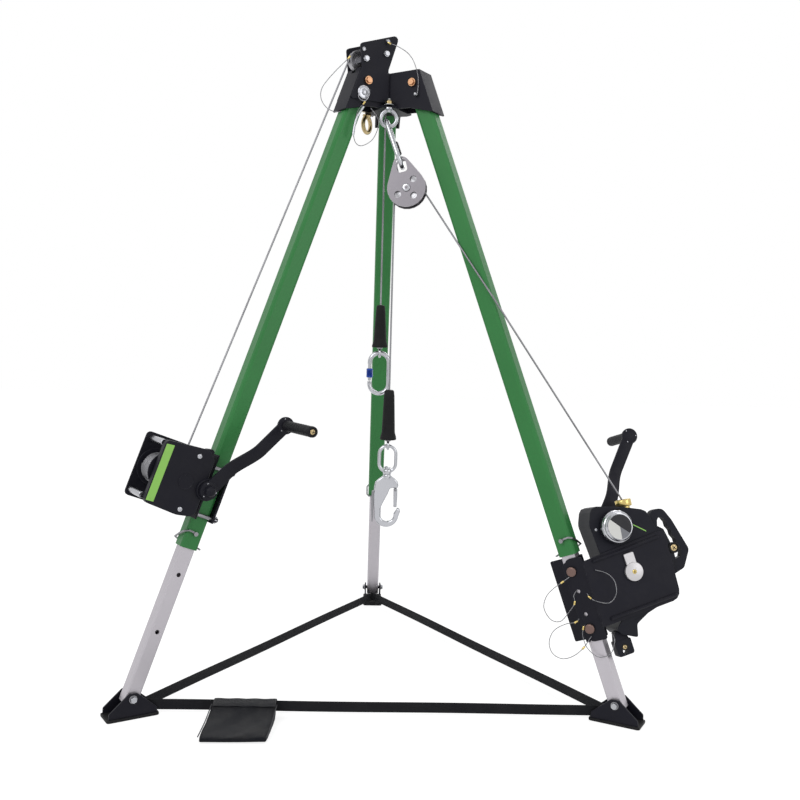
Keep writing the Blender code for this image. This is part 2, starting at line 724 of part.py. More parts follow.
def foot_strap(head):
    """One webbing band through the three feet keeps the legs from spreading."""
    loops = []
    for radius, corner in ((STRAP_REACH, 0.0075), (STRAP_REACH - 2 * STRAP_THICK, 0.0057)):
        loops.append(rounded([(*strap_corner(side, radius), corner) for side in LEGS], 4))
    return plate("foot_strap", loops[0], STRAP_TALL, WEBBING, [loops[1]], parent=head,
                 location=(0, 0, STRAP_LOW + STRAP_TALL / 2.0))


def pouch(head):
    """The strap's folded bag, flat on the floor in front of the strap."""
    profile = rounded([
        (-0.150, 0.0, 0.004), (-0.002, 0.0, 0.002), (-0.002, 0.034, 0.003),
        (-0.018, 0.036, 0.006), (-0.050, 0.022, 0.020), (-0.148, 0.014, 0.005),
    ], 3)
    return plate("strap_pouch", profile, POUCH_WIDTH, WEBBING, parent=head,
                 location=(POUCH_AT[0], POUCH_AT[1], 0), rotation=TURN_X)


# Hoisting winch


def crank(name, parent, reach, angle, step):
    """A flat bar set out sideways by its two bends, with a hub and a round end.

    It turns about the parent's local X and lies at the angle, in degrees, from
    local Y. Its bar runs at x = 0 by the hub and at x = step by the grip.
    """
    half = CRANK_BAR / 2.0
    low, high = reach * 0.30, reach * 0.62
    lean = 0.004 if step > 0 else -0.004
    side = rounded([
        (-half, 0.0, 0.0), (-half, low + lean, 0.010), (step - half, high + lean, 0.010),
        (step - half, reach, 0.0), (step + half, reach, 0.0),
        (step + half, high - lean, 0.010), (half, low - lean, 0.010), (half, 0.0, 0.0),
    ], 2)
    turn = frame(name + "_turn", (0, 0, 0), (radians(angle), 0, 0), parent)
    made = plate(name, side, CRANK_WIDTH, BLACK, parent=turn)
    across = {"parent": turn, "rotation": TURN_X}
    fuse(made, cylinder(name + "_end", CRANK_END_RADIUS, CRANK_BAR, BLACK, 20,
                        location=(step, reach, 0), **across))
    fuse(made, cylinder(name + "_hub", 0.021, 0.012, BLACK, 20, location=(0, 0, 0), **across))
    sign = 1.0 if step > 0 else -1.0
    nut = turned(name + "_nut", [
        (0.0, 0.019), (0.006, 0.0185), (0.0105, 0.015), (0.0125, 0.010), (0.0125, 0.0),
        (0.0, 0.0),
    ], BLACK, 12, parent=turn, rotation=(pi / 2, 0.0, sign * pi / 2))
    nut.location = (sign * 0.004, 0, 0)
    fuse(made, nut)
    boss = cylinder(name + "_boss", 0.0125, CRANK_BOSS, BLACK, 16, **across)
    boss.location = (-sign * CRANK_BOSS / 2.0, 0, 0)
    fuse(made, boss)
    face = step + sign * (half + GAP)
    return made, frame(name + "_grip_axis", (face, reach, 0), (0, 0, 0), turn)


def grip(name, parent, sign, length):
    """A sleeve that turns on its own spindle, with the spindle's screw in its end."""
    r = GRIP_RADIUS
    return turned(name, [
        (0.0, length + 0.002), (0.0055, length + 0.002), (0.0055, length),
        (r - 0.0015, length), (r, length - 0.002), (r, 0.004), (r - 0.002, 0.0), (0.0, 0.0),
    ], BLACK, 14, parent=parent, rotation=(pi / 2, 0.0, sign * pi / 2))


def winch_frame(hinge):
    """The base against the tube and the square back plate, bent from one sheet."""
    base_in = TUBE_DEPTH / 2.0 + GAP
    middle = (WINCH_HIGH + WINCH_LOW) / 2.0
    tall = WINCH_HIGH - WINCH_LOW
    back = rounded(box_outline(base_in, WINCH_LOW, WINCH_OUT, WINCH_HIGH, 0.010), 3)
    made = plate("winch_frame", back, WINCH_PLATE, BLACK, parent=hinge,
                 location=(WINCH_BACK_X + WINCH_PLATE / 2.0, 0, 0), rotation=TURN_X)
    fuse(made, block("winch_base", (WINCH_FRONT_X, base_in, -tall / 2.0),
                     (WINCH_BACK_X + 0.002, base_in + WINCH_PLATE, tall / 2.0), BLACK,
                     parent=hinge, location=(0, 0, middle)))
    for k, (out, at) in enumerate(WINCH_RODS):
        rod = cylinder(f"winch_rod_{k}", 0.0065, WINCH_BACK_X - WINCH_FRONT_X + 0.001, STEEL,
                       12, parent=hinge, location=((WINCH_BACK_X + WINCH_FRONT_X) / 2.0 + 0.0005, out, at),
                       rotation=TURN_X)
        fuse(made, rod)
    cut(made, cylinder("winch_axle_hole", DRUM_AXLE + RUNNING, 0.03, BLACK, 14, parent=hinge,
                       location=(WINCH_BACK_X, DRUM_OUT, DRUM_AT), rotation=TURN_X))
    return made


def winch_cover(hinge):
    """The gear housing over the drum's drive, with the hub that the crank turns in."""
    outline = rounded([
        (0.037, WINCH_LOW + 0.004, 0.016), (0.080, WINCH_LOW - 0.003, 0.060),
        (COVER_OUT, WINCH_LOW + 0.003, 0.010), (COVER_OUT + 0.001, WINCH_HIGH - 0.006, 0.012),
        (0.056, WINCH_HIGH + 0.004, 0.014), (0.037, WINCH_HIGH - 0.016, 0.014),
    ], 3)
    face = WINCH_FRONT_X - GAP
    made = plate("winch_cover", outline, COVER_DEPTH, BLACK, parent=hinge,
                 location=(face - COVER_DEPTH / 2.0, 0, 0), rotation=TURN_X)
    edge = made.modifiers.new("edges", "BEVEL")
    edge.width = 0.003
    edge.segments = 1
    edge.limit_method = "ANGLE"
    edge.angle_limit = radians(60.0)
    fuse(made, cylinder("winch_crank_hub", 0.025, COVER_DEPTH + 0.006, BLACK, 20, parent=hinge,
                        location=(face - COVER_DEPTH / 2.0 - 0.003, CRANK_OUT, CRANK_AT),
                        rotation=TURN_X))
    fuse(made, cylinder("winch_boss", 0.018, 0.004, BLACK, 18, parent=hinge,
                        location=(face - COVER_DEPTH, 0.086, -1.059), rotation=TURN_X))
    bore = cylinder("winch_crank_bore", 0.0125 + RUNNING, 0.060, BLACK, 16, parent=hinge,
                    location=(face - COVER_DEPTH, CRANK_OUT, CRANK_AT), rotation=TURN_X)
    cut(made, bore)
    cut(made, cylinder("winch_axle_bore", DRUM_AXLE + RUNNING, 0.016, BLACK, 14, parent=hinge,
                       location=(face, DRUM_OUT, DRUM_AT), rotation=TURN_X))


def winch_drum(hinge):
    """A flanged drum on its axle; the wire's outer layer is a piece of its own."""
    axis = frame("winch_drum_axis", (0, DRUM_OUT, DRUM_AT), (0, 0, 0), hinge)
    low = WINCH_FRONT_X + 0.001
    high = WINCH_BACK_X - 0.001
    thick = 0.003
    core = DRUM_WOUND - 2.0 * WIRE_RADIUS - 0.0012
    turned("winch_drum", [
        (0.0, high + 0.004), (DRUM_AXLE, high + 0.004), (DRUM_AXLE, high),
        (DRUM_FLANGE, high), (DRUM_FLANGE, high - thick), (core, high - thick),
        (core, low + thick), (DRUM_FLANGE, low + thick), (DRUM_FLANGE, low),
        (DRUM_AXLE, low), (DRUM_AXLE, low - 0.006), (0.0, low - 0.006),
    ], BLACK, 20, parent=axis, rotation=TURN_X)
    return axis, low + thick, high - thick


def wound_wire(axis, low, high):
    """The drum's outer layer of wire: one tube, its turns side by side.

    Each end leaves its turn and runs straight into the flange beside it.
    """
    run = DRUM_WOUND - WIRE_RADIUS
    start = low + GAP + WIRE_END
    end = high - GAP - WIRE_END
    count = DRUM_TURNS * TURN_POINTS
    points = [(low + GAP, run, 0.0)]
    for k in range(count + 1):
        turn = 2.0 * pi * k / TURN_POINTS
        along = start + (end - start) * k / count
        points.append((along, run * cos(turn), run * sin(turn)))
    points.append((high - GAP, run, 0.0))
    space = (end - start) / DRUM_TURNS - 2.0 * WIRE_RADIUS
    print(f"drum wire: {DRUM_TURNS} turns, least gap to itself {1000 * space:.2f} mm")
    wire("winch_drum_wire", points, WIRE_RADIUS, STEEL, resolution=1, parent=axis)


def winch_clamp(hinge):
    """A plate behind the tube, drawn up to the winch by four long bolts."""
    inner = -TUBE_DEPTH / 2.0 - GAP
    outer = TUBE_DEPTH / 2.0 + GAP
    low = WINCH_LOW + 0.010
    high = WINCH_HIGH - 0.030
    bolt_x = TUBE_WIDTH / 2.0 + 0.0065
    made = block("winch_clamp", (-bolt_x - 0.008, inner - 0.006, low - 0.010),
                 (bolt_x + 0.008, inner, high + 0.010), BLACK, 0.001, parent=hinge)
    for i, x in enumerate((-bolt_x, bolt_x)):
        for k, at in enumerate((low, high)):
            length = outer - GAP - inner + 0.016
            rod = cylinder(f"clamp_bolt_{i}_{k}", 0.0045, length, STEEL, 8, parent=hinge,
                           location=(x, (outer - GAP + inner - 0.016) / 2.0, at),
                           rotation=(pi / 2, 0, 0))
            fuse(made, rod)
            fuse(made, cylinder(f"clamp_nut_{i}_{k}", 0.0078, 0.007, STEEL, 6, parent=hinge,
                                location=(x, inner - 0.0095, at), rotation=(pi / 2, 0, 0)))
    return made


def winch(head):
    hinge = bpy.data.objects["leg_left_hinge"]
    winch_frame(hinge)
    winch_cover(hinge)
    axis, low, high = winch_drum(hinge)
    wound_wire(axis, low, high)
    winch_clamp(hinge)
    front = WINCH_FRONT_X - GAP - COVER_DEPTH - 0.006
    turn = frame("winch_crank_axis", (front - 0.0065, CRANK_OUT, CRANK_AT), (0, 0, 0), hinge)
    arm, end = crank("winch_crank", turn, CRANK_REACH, 117.5, -CRANK_STEP)
    grip("winch_grip", end, -1, GRIP_LENGTH)


# Fall arrest block


def arrester_bracket(slide, case):
    """Bent plate round the inner tube, opening out into the block's ribbed front."""
    inside = INNER_WIDTH / 2.0 + RUNNING
    web = INNER_DEPTH / 2.0 + RUNNING
    middle = (BRACKET_HIGH + BRACKET_LOW) / 2.0
    tall = BRACKET_HIGH - BRACKET_LOW
    half = BRACKET_PLATE / 2.0
    front = rounded([
        (-0.010, BRACKET_LOW, 0.012), (BRACKET_FOLD + 0.001, BRACKET_LOW, 0.004),
        (BRACKET_FOLD + 0.001, BRACKET_HIGH - 0.004, 0.003), (0.018, BRACKET_HIGH, 0.004),
        (-0.012, BRACKET_HIGH, 0.014),
    ], 3)
    made = plate("arrester_bracket", front, BRACKET_PLATE, BLACK, parent=slide,
                 location=(inside + half, 0, 0), rotation=TURN_X)
    fuse(made, block("bracket_web", (-inside - 0.003, web, -tall / 2.0 + 0.001),
                     (inside + 0.003, web + BRACKET_PLATE, tall / 2.0 - 0.001), BLACK,
                     parent=slide, location=(0, 0, middle)))
    fuse(made, plate(
        "bracket_back", rounded(box_outline(-0.062, BRACKET_LOW + 0.0005, web + 0.003,
                                            BRACKET_HIGH - 0.0005, 0.003), 2),
        BRACKET_PLATE, BLACK, parent=slide, location=(-inside - half, 0, 0), rotation=TURN_X))
    panel = rounded([
        (-0.0015, PANEL_LOW - 0.004, 0.003), (PANEL_WIDE - 0.012, PANEL_LOW, 0.024),
        (PANEL_WIDE, PANEL_HIGH + 0.006, 0.012), (-0.0015, PANEL_HIGH - 0.006, 0.003),
    ], 3)
    fuse(made, plate("bracket_panel", panel, BRACKET_PLATE, BLACK, parent=case,
                     location=(-half, 0, 0), rotation=TURN_X))
    for label, at, tilt in (("upper", PANEL_HIGH - 0.010, 2.0), ("lower", PANEL_LOW + 0.010, 1.0)):
        rib = block(f"rib_{label}", (-0.001, -0.088, -0.004), (0.006, 0.088, 0.004), BLACK,
                    0.0025, parent=case, location=(0, PANEL_WIDE / 2.0 + 0.002, at),
                    rotation=(radians(tilt), 0, 0))
        fuse(made, rib)
    for label, at in BRACKET_PINS.items():
        cut(made, cylinder(f"bracket_{label}_hole", BRACKET_PIN_RADIUS + GAP, 0.1, BLACK, 12,
                           parent=slide, location=(0, 0, at), rotation=TURN_X))
    for k, at in enumerate((-1.289, -1.344)):
        cut(made, cylinder(f"bracket_spare_hole_{k}", 0.0052, 0.1, BLACK, 8,
                           parent=slide, location=(0, 0, at), rotation=TURN_X))
    return made


def case_outline():
    return rounded([
        (0.052, -1.380, 0.006), (0.031, -1.398, 0.008), (0.040, -1.412, 0.006),
        (0.076, -1.431, 0.004), (0.084, -1.401, 0.010), (0.118, -1.386, 0.014),
        (0.198, -1.368, 0.020), (0.214, -1.310, 0.030), (0.229, -1.262, 0.022),
        (0.221, -1.219, 0.014), (0.203, -1.206, 0.012), (0.194, -1.158, 0.024),
        (0.140, -1.134, 0.012), (0.064, -1.110, 0.016), (0.046, -1.150, 0.030),
        (0.050, -1.225, 0.020),
    ], 2)


def handle_outline():
    return rounded([
        (0.190, -1.190, 0.008), (0.210, -1.163, 0.014), (0.238, -1.166, 0.016),
        (0.252, -1.200, 0.050), (0.271, -1.278, 0.014), (0.244, -1.316, 0.010),
        (0.205, -1.325, 0.010),
    ], 2)


def handle_opening():
    """The inner edge has a bump between each two fingers."""
    outer = [Vector((0.2330 + 0.0185 * t + (0.0016 if k % 2 else -0.0012), -1.188 - 0.090 * t))
             for k, t in enumerate(i / 8.0 for i in range(9))]
    return [Vector((0.212, -1.203)), Vector((0.216, -1.190)), Vector((0.222, -1.184)),
            *outer, Vector((0.245, -1.288)), Vector((0.2300, -1.290)),
            Vector((0.2330, -1.262)), Vector((0.2245, -1.214))]


def arrester_case(case):
    """The drum's moulded housing, its carrying handle and its bosses."""
    back = -BRACKET_PLATE - GAP - CASE_DEPTH / 2.0
    made = plate("arrester_case", case_outline(), CASE_DEPTH, BLACK, parent=case,
                 location=(back, 0, 0), rotation=TURN_X)
    edge = made.modifiers.new("edges", "BEVEL")
    edge.width = 0.006
    edge.segments = 1
    edge.limit_method = "ANGLE"
    edge.angle_limit = radians(60.0)
    fuse(made, plate("case_handle", handle_outline(), 0.020, BLACK, [handle_opening()],
                     parent=case, location=(-0.024, 0, 0), rotation=TURN_X))
    u, z = KNOB_AT
    fuse(made, cylinder("case_hub", 0.027, CASE_DEPTH + 0.008, BLACK, 18, parent=case,
                        location=(back - 0.004, u, z), rotation=TURN_X))
    fuse(made, cylinder("case_bolt_boss", 0.0120, 0.020, BLACK, 16, parent=case,
                        location=(-0.010, 0.229, -1.262), rotation=TURN_X))
    cut(made, cylinder("case_crank_bore", 0.0125 + RUNNING, 0.044, BLACK, 16, parent=case,
                       location=(-BRACKET_PLATE - GAP - CASE_DEPTH - 0.008, u, z),
                       rotation=TURN_X))
    cut(made, cylinder("case_gland_bore", 0.014 + RUNNING, 0.020, BLACK, 18,
                       parent=bpy.data.objects["gland_frame"]))
    cut(made, cylinder("case_knob_bore", 0.010 + RUNNING, 0.030, BLACK, 16, parent=case,
                       location=(-0.004, u, z), rotation=TURN_X))
    return made


def arrester_gland():
    """Threaded brass guide that the wire runs out of."""
    bore = WIRE_RADIUS + 0.0016
    return ring_turned("arrester_gland", [
        (bore + 0.004, 0.013), (0.0185, 0.013), (0.0200, 0.011), (0.0200, 0.004),
        (0.0140, 0.004), (0.0140, -0.009), (bore, -0.009), (bore, 0.004),
    ], BRONZE, 14, parent=bpy.data.objects["gland_frame"])


def arrester_knob(case):
    """Domed clutch knob that engages the rescue crank."""
    axis = frame("arrester_knob_axis", (-BRACKET_PLATE + GAP, *KNOB_AT), (0, 0, 0), case)
    r = KNOB_RADIUS
    return turned("arrester_knob", [
        (0.0, 0.034), (r * 0.78, 0.034), (r * 0.84, 0.0325), (r * 0.89, 0.027),
        (r * 0.93, 0.024), (r * 0.98, 0.020), (r, 0.016), (r, 0.004), (r - 0.002, 0.0015),
        (0.010, 0.0015), (0.010, -0.010), (0.0, -0.010),
    ], STEEL, 18, parent=axis, rotation=TURN_X)


def arrester_lever(case):
    """Selector lever on the panel: a strap ending in a disc over its pivot."""
    pivot = frame("arrester_lever_pivot", (GAP + 0.0025, *LEVER_AT), (0, 0, 0), case)
    strap = rounded(box_outline(-0.0125, -0.004, 0.0125, 0.045, 0.003), 2)
    made = plate("arrester_lever", strap, 0.005, ALLOY, parent=pivot, rotation=TURN_X)
    fuse(made, turned("lever_disc", [
        (0.0, 0.0065), (0.0045, 0.0065), (0.0045, 0.0045), (0.0200, 0.0045), (0.0222, 0.003),
        (0.0222, -0.0025), (0.0, -0.0025),
    ], ALLOY, 18, parent=pivot, rotation=TURN_X))
    return made


def arrester_anchor(case):
    """The block's own anchor eye, which hangs on a bolt under the housing."""
    pivot = frame("arrester_anchor_frame", (-0.030, *ANCHOR_AT), (0, 0, 0), case)
    outline = rounded([
        (-0.0205, -0.044, 0.006), (0.0205, -0.044, 0.006), (0.0205, -0.0075, 0.003),
        (-0.0205, -0.0075, 0.003),
    ], 3)
    made = plate("arrester_anchor", outline, 0.024, BLACK,
                 [circle(0.0075, 10, 0.0, -0.034)], parent=pivot, rotation=TURN_X)
    return made


def bracket_pin(slide, label, at):
    """A detent pin through the bracket and the tube, with a flat brown head."""
    inside = INNER_WIDTH / 2.0 + RUNNING + BRACKET_PLATE
    axis = frame(f"bracket_pin_{label}_slide", (0, 0, at), (0, 0, 0), slide)
    r = BRACKET_PIN_RADIUS
    face = inside + GAP
    return turned(f"bracket_pin_{label}", [
        (0.0, face + 0.006), (0.0105, face + 0.006), (0.0115, face + 0.005), (0.0115, face),
        (r, face), (r, -inside - 0.004), (r - 0.002, -inside - 0.007),
        (0.0, -inside - 0.007),
    ], BRONZE, 12, parent=axis, rotation=TURN_X)


def arrester(head):
    slide = bpy.data.objects["leg_right_slide"]
    origin = (INNER_WIDTH / 2.0 + RUNNING + BRACKET_PLATE, BRACKET_FOLD, 0.0)
    case = frame("arrester_frame", origin, (0, 0, ARRESTER_TURN), slide)
    frame("gland_frame", (-0.040, *GLAND_AT), (-0.10, 0.03, 0), case)
    arrester_bracket(slide, case)
    arrester_case(case)
    arrester_gland()
    arrester_knob(case)
    arrester_lever(case)
    arrester_anchor(case)
    for label, at in BRACKET_PINS.items():
        bracket_pin(slide, label, at)
    back = -BRACKET_PLATE - GAP - CASE_DEPTH - 0.008
    turn = frame("arrester_crank_axis", (back - 0.0065, *KNOB_AT), (0, 0, 0), case)
    arm, end = crank("arrester_crank", turn, RESCUE_REACH, 48.6, -CRANK_STEP)
    grip("arrester_grip", end, -1, GRIP_LENGTH - 0.015)


# Tackle


def oval_points(half_long, half_wide, first, last, steps):
    """Points on an oval of two half circles and two straight sides, by its turn."""
    straight = half_long - half_wide
    points = []
    for k in range(steps + 1):
        turn = radians(first + (last - first) * k / steps)
        shift = straight if sin(turn) > 0.0 else -straight
        if abs(sin(turn)) < 0.0001:
            shift = 0.0
        points.append((half_wide * cos(turn), half_wide * sin(turn) + shift))
    return points


def carabiner(name, parent, half_long, half_wide, gate_colour):
    """An oval steel link with a screw-sleeved gate down its +X side."""
    straight = half_long - half_wide
    top = straight - GATE_NOSE
    foot_end = GATE_FOOT - straight
    body = [(half_wide, top)]
    body += [(p.x, p.y) for p in arc((0.0, straight), half_wide, 0.0, 180.0, 7)]
    body += [(p.x, p.y) for p in arc((0.0, -straight), half_wide, 180.0, 360.0, 7)]
    body.append((half_wide, foot_end))
    wire(name, [(x, 0.0, z) for x, z in body], BAR_RADIUS, STEEL, parent=parent)
    hinge_at = foot_end + GATE_HINGE
    hinge = frame(name + "_gate_hinge", (half_wide, 0, hinge_at), (0, 0, 0), parent)
    length = top - GAP - hinge_at
    tip = BAR_RADIUS - 0.001
    sleeve = BAR_RADIUS + 0.0028
    turned(name + "_gate", [
        (0.0, length), (tip, length), (tip, length * 0.66),
        (sleeve, length * 0.64), (sleeve, length * 0.24), (tip, length * 0.22),
        (tip, 0.003), (GATE_KNUCKLE, -GATE_BELOW), (0.0, -GATE_BELOW),
    ], gate_colour, 10, parent=hinge)


def pear(radius, top_radius, top, steps=7):
    """A round cheek drawn up to a smaller round top."""
    spread = degrees(asin((radius - top_radius) / top))
    low = arc((0.0, 0.0), radius, 180.0 - spread, 360.0 + spread, steps + 8)
    high = arc((0.0, top), top_radius, spread, 180.0 - spread, steps)
    return low + high


def pulley_block(swing):
    """Two pear-shaped cheeks, pierced to save weight, round one sheave."""
    centre = frame("block_frame", BLOCK_AT - swing_origin(), BLOCK_POSE, swing)
    spin = frame("block_sheave_axis", (0, 0, 0), (0, 0, 0), centre)
    outline = pear(0.0475, 0.021, 0.058)
    slot = rounded(box_outline(-0.0125, 0.040, 0.0125, 0.0730, 0.0060), 2)
    holes = [circle(0.0085, 10, 0.0265 * cos(radians(a)), 0.0265 * sin(radians(a)))
             for a in (204.0, 38.0, 300.0)]
    flat = (pi / 2, 0.0, 0.0)
    middle = BLOCK_SHEAVE_WIDTH / 2.0 + 0.0012 + BLOCK_CHEEK / 2.0
    bore = circle(BLOCK_AXLE + GAP, 10)
    plate("block_cheek_front", outline, BLOCK_CHEEK, STEEL, [slot, *holes, bore],
          parent=centre, location=(0, -middle, 0), rotation=flat)
    rear = plate("block_cheek_rear", outline, BLOCK_CHEEK, STEEL, [slot, *holes],
                 parent=centre, location=(0, middle, 0), rotation=flat)
    rim = BLOCK_SHEAVE
    half = BLOCK_SHEAVE_WIDTH / 2.0
    bore = BLOCK_AXLE + RUNNING
    floor = rim - WIRE_RADIUS - 0.0018
    ring_turned("block_sheave", [
        (bore, half), (0.012, half), (rim + 0.003, half - 0.002), (rim + 0.003, 0.0048),
        (floor, 0.0026), (floor, -0.0026), (rim + 0.003, -0.0048),
        (rim + 0.003, 0.002 - half), (0.012, -half), (bore, -half),
    ], ALLOY, 16, parent=spin, rotation=flat)
    out = middle + BLOCK_CHEEK / 2.0 + GAP
    r = BLOCK_AXLE
    half_profile = [(0.0, out + 0.0035), (0.0085, out + 0.003), (0.0100, out), (r, out)]
    fuse(rear, turned("block_axle", [
        *half_profile, (r, GAP - out), (0.0095, GAP - out), (0.0085, -out - 0.003),
        (0.0, -out - 0.0035),
    ], STEEL, 12, parent=centre, rotation=flat))
    return centre


def swing_origin():
    """The front eye's bar, which the block's carabiner swings on."""
    ring_at = HEAD_BOTTOM - GAP - 0.006 - EYE_RING
    return Vector((EYES["front_eye"][0], EYES["front_eye"][1], ring_at - EYE_RING))


def block_tackle(head):
    swing = frame("block_swing", swing_origin(), (0, 0, 0), head)
    pulley_block(swing)
    up = Euler(BLOCK_POSE).to_matrix() @ Vector((0.0, 0.0, BLOCK_HANG))
    low = BLOCK_AT + up - swing_origin()
    slack = EYE_BAR + BAR_RADIUS + 0.0036
    length = low.length + slack
    middle = low.normalized() * (low.length - length / 2.0)
    hang = frame("block_carabiner_frame", middle,
                 Vector((0, 0, 1)).rotation_difference(-low).to_euler(), swing)
    turn = frame("block_carabiner_turn", (0, 0, 0), (0, 0, radians(90.0) + BLOCK_TURN), hang)
    carabiner("block_carabiner", turn, length / 2.0, 0.0260, BLACK)


def boot(name, parent, length, depth, small, large):
    """A rubber boot, flared at its foot, over the wire's end, and the wire's thimble."""
    bore = WIRE_RADIUS + RUNNING
    made = turned(name, [
        (0.0, -depth), (bore, -depth), (bore, 0.0), (small - 0.003, 0.0), (small, -0.003),
        (small + 0.003, -0.30 * length), (large - 0.004, -0.85 * length),
        (large - 0.001, -0.95 * length), (large, 0.003 - length), (large - 0.002, -length),
        (0.0075, -length), (0.0065, -length - 0.0035), (0.0, -length - 0.0035),
    ], RUBBER, 12, parent=parent)
    at = -length - THIMBLE_DROP
    points = [(0.0, p.x, p.y) for p in circle(THIMBLE_RADIUS, 8, 0.0, at)]
    return fuse(made, wire(name + "_thimble", points, THIMBLE_BAR, STEEL, True, 1, parent=parent))


def hoist_end(head):
    """The winch wire's end: boot, eye and carabiner, drawn up and down by the winch."""
    slide = frame("hoist_slide", (*HOIST_AT, HOIST_TOP), (0, 0, 0), head)
    boot("hoist_boot", slide, HOIST_BOOT, 0.078, 0.0108, 0.0205)
    inside = -HOIST_BOOT - THIMBLE_DROP - THIMBLE_RADIUS + THIMBLE_BAR
    half = 0.052
    middle = inside + BAR_RADIUS + 2.0 * GAP - half
    hang = frame("hoist_carabiner_frame", (0, 0, middle), (0, 0, pi), slide)
    carabiner("hoist_carabiner", hang, half, 0.0245, BLUE)


def hook_body_outline():
    """The flat of the forged hook: a straight back, a round bowl and an open nose."""
    outer = [(-0.010, 0.0), (-0.029, -0.016), (-0.0320, -0.030), (-0.0315, -0.070),
             (-0.029, -0.095)]
    outer += [(p.x, p.y) for p in arc((0.000, -0.098), 0.0305, 195.0, 352.0, 12)]
    outer += [(0.0345, -0.090), (0.0340, -0.083), (0.0275, -0.081), (0.0250, -0.084)]
    inner = [(p.x, p.y) for p in arc((0.002, -0.098), 0.0165, 10.0, -170.0, 10)]
    inner += [(-0.0150, -0.080), (0.001, -0.048), (0.0065, -0.034)]
    inner += [(0.0130, -0.030), (0.0270, -0.030), (0.0280, -0.016), (0.010, 0.0)]
    return outer + inner


def snap_hook(head):
    """The arrest wire's end: boot, swivel ring, hook, its gate and its lock lever."""
    slide = frame("hook_slide", (*HOOK_AT, HOOK_TOP), (0, 0, 0), head)
    boot("hook_boot", slide, HOOK_BOOT, 0.094, 0.0120, 0.0205)
    inside = -HOOK_BOOT - THIMBLE_DROP - THIMBLE_RADIUS + THIMBLE_BAR
    half_long, half_wide, bar = 0.0325, 0.0205, 0.0042
    ring_at = inside + bar + 2.0 * GAP - half_long
    points = [(x, 0.0, z + ring_at)
              for x, z in oval_points(half_long, half_wide, 0.0, 345.0, 14)]
    swivel = wire("swivel_ring", points, bar, STEEL, True, 2, parent=slide)
    low = ring_at - half_long
    eyelet = cylinder("swivel_ring_collar", 0.0105, 0.013, STEEL, 16, parent=slide,
                      location=(0, 0, low))
    fuse(swivel, eyelet)
    cut(swivel, cylinder("swivel_ring_bore", 0.0050 + RUNNING, 0.03, STEEL, 14, parent=slide,
                         location=(0, 0, low)))
    turn = frame("hook_swivel", (0, 0, low), (0, 0, 0), slide)
    top = -0.0065 - RUNNING - 0.0035
    hang = frame("hook_frame", (0, 0, top), (0, 0, 0), turn)
    made = plate("snap_hook", hook_body_outline(), 0.013, STEEL, parent=hang,
                 rotation=(pi / 2, 0, 0))
    fuse(made, turned("snap_hook_post", [
        (0.0, 0.0235), (0.0075, 0.0225), (0.0080, 0.018 + RUNNING), (0.0050, 0.018 + RUNNING),
        (0.0050, 0.0035), (0.0098, 0.0035), (0.0098, -0.006), (0.0, -0.008),
    ], STEEL, 12, parent=hang))
    gate_pivot = frame("snap_gate_pivot", (0.0215, 0, -0.0345), (0, 0, 0), hang)
    plate("snap_gate", rounded([
        (-0.0045, 0.0038, 0.002), (-0.0040, -0.0440, 0.002), (0.0040, -0.0440, 0.002),
        (0.0055, -0.020, 0.006), (0.0050, 0.0038, 0.002),
    ], 2), 0.010, STEEL, parent=gate_pivot, rotation=(pi / 2, 0, 0))
    lever = plate("snap_lever", rounded([
        (0.0040, 0.020, 0.002), (-0.0020, 0.020, 0.002), (-0.0030, -0.020, 0.004),
        (-0.0015, -0.058, 0.001), (0.0020, -0.058, 0.001), (0.0030, -0.036, 0.004),
    ], 2), 0.010, STEEL, parent=hang, location=(-0.0350, 0, -0.058), rotation=(pi / 2, 0, 0))
    fuse(made, lever)


# Wires


def winch_wire(head):
    """From the drum up outside the leg, over both sheaves and down to the boot."""
    arm = bpy.data.objects["arm_left"].rotation_euler.to_matrix()
    hinge = bpy.data.objects["leg_left_hinge"]
    leg = Matrix.Translation(hinge.location) @ hinge.rotation_euler.to_matrix().to_4x4()
    run = SHEAVE_RADIUS - 0.004 + WIRE_RADIUS + GAP
    start = Vector((WIRE_OFF_DRUM, DRUM_OUT - DRUM_WOUND - WIRE_RADIUS - GAP, DRUM_AT))
    points = [leg @ start, leg @ (start + Vector((0, 0, 0.012)))]
    first, second = SHEAVES["outer"], SHEAVES["inner"]
    slope = degrees(atan2(second[1] - first[1], first[0] - second[0]))
    route = arc(first, run, 24.0, 90.0 - slope, 5)
    route += arc(second, run, 90.0 - slope, 180.0, 7)
    points += [arm @ Vector((0.0, p.x, p.y)) for p in route]
    last = points[-1]
    drops = (HEAD_BOTTOM + 0.022, HEAD_BOTTOM - 0.138, HOIST_TOP - 0.076)
    points += [Vector((last.x, last.y, z)) for z in drops]
    return wire("winch_wire", points, WIRE_RADIUS, STEEL, parent=head)


def arrest_wire(head):
    """From the gland over the block's sheave and down to the hook's boot."""
    gland = bpy.data.objects["gland_frame"].matrix_world
    leg = bpy.data.objects["leg_right_hinge"].matrix_world
    points = [gland @ Vector((0, 0, -0.006)), gland @ Vector((0, 0, 0.006))]
    points += [leg @ Vector(at) for at in reversed(WIRE_ON_LEG)]
    points = [at - MODEL_SHIFT for at in points]
    toward = points[-1] - BLOCK_AT
    flat = hypot(toward.dot(BLOCK_SIDE), toward.dot(BLOCK_RISE))
    aim = atan2(toward.dot(BLOCK_RISE), toward.dot(BLOCK_SIDE))
    meet = degrees(aim + acos(BLOCK_SHEAVE / flat))
    for p in arc((0.0, 0.0), BLOCK_SHEAVE, meet, 180.0, 9):
        points.append(BLOCK_AT + BLOCK_SIDE * p.x + BLOCK_RISE * p.y)
    last = points[-1]
    points += [Vector((last.x, last.y, z)) for z in (1.10, 0.90, HOOK_TOP - 0.090)]
    return wire("arrest_wire", points, WIRE_RADIUS, STEEL, parent=head)


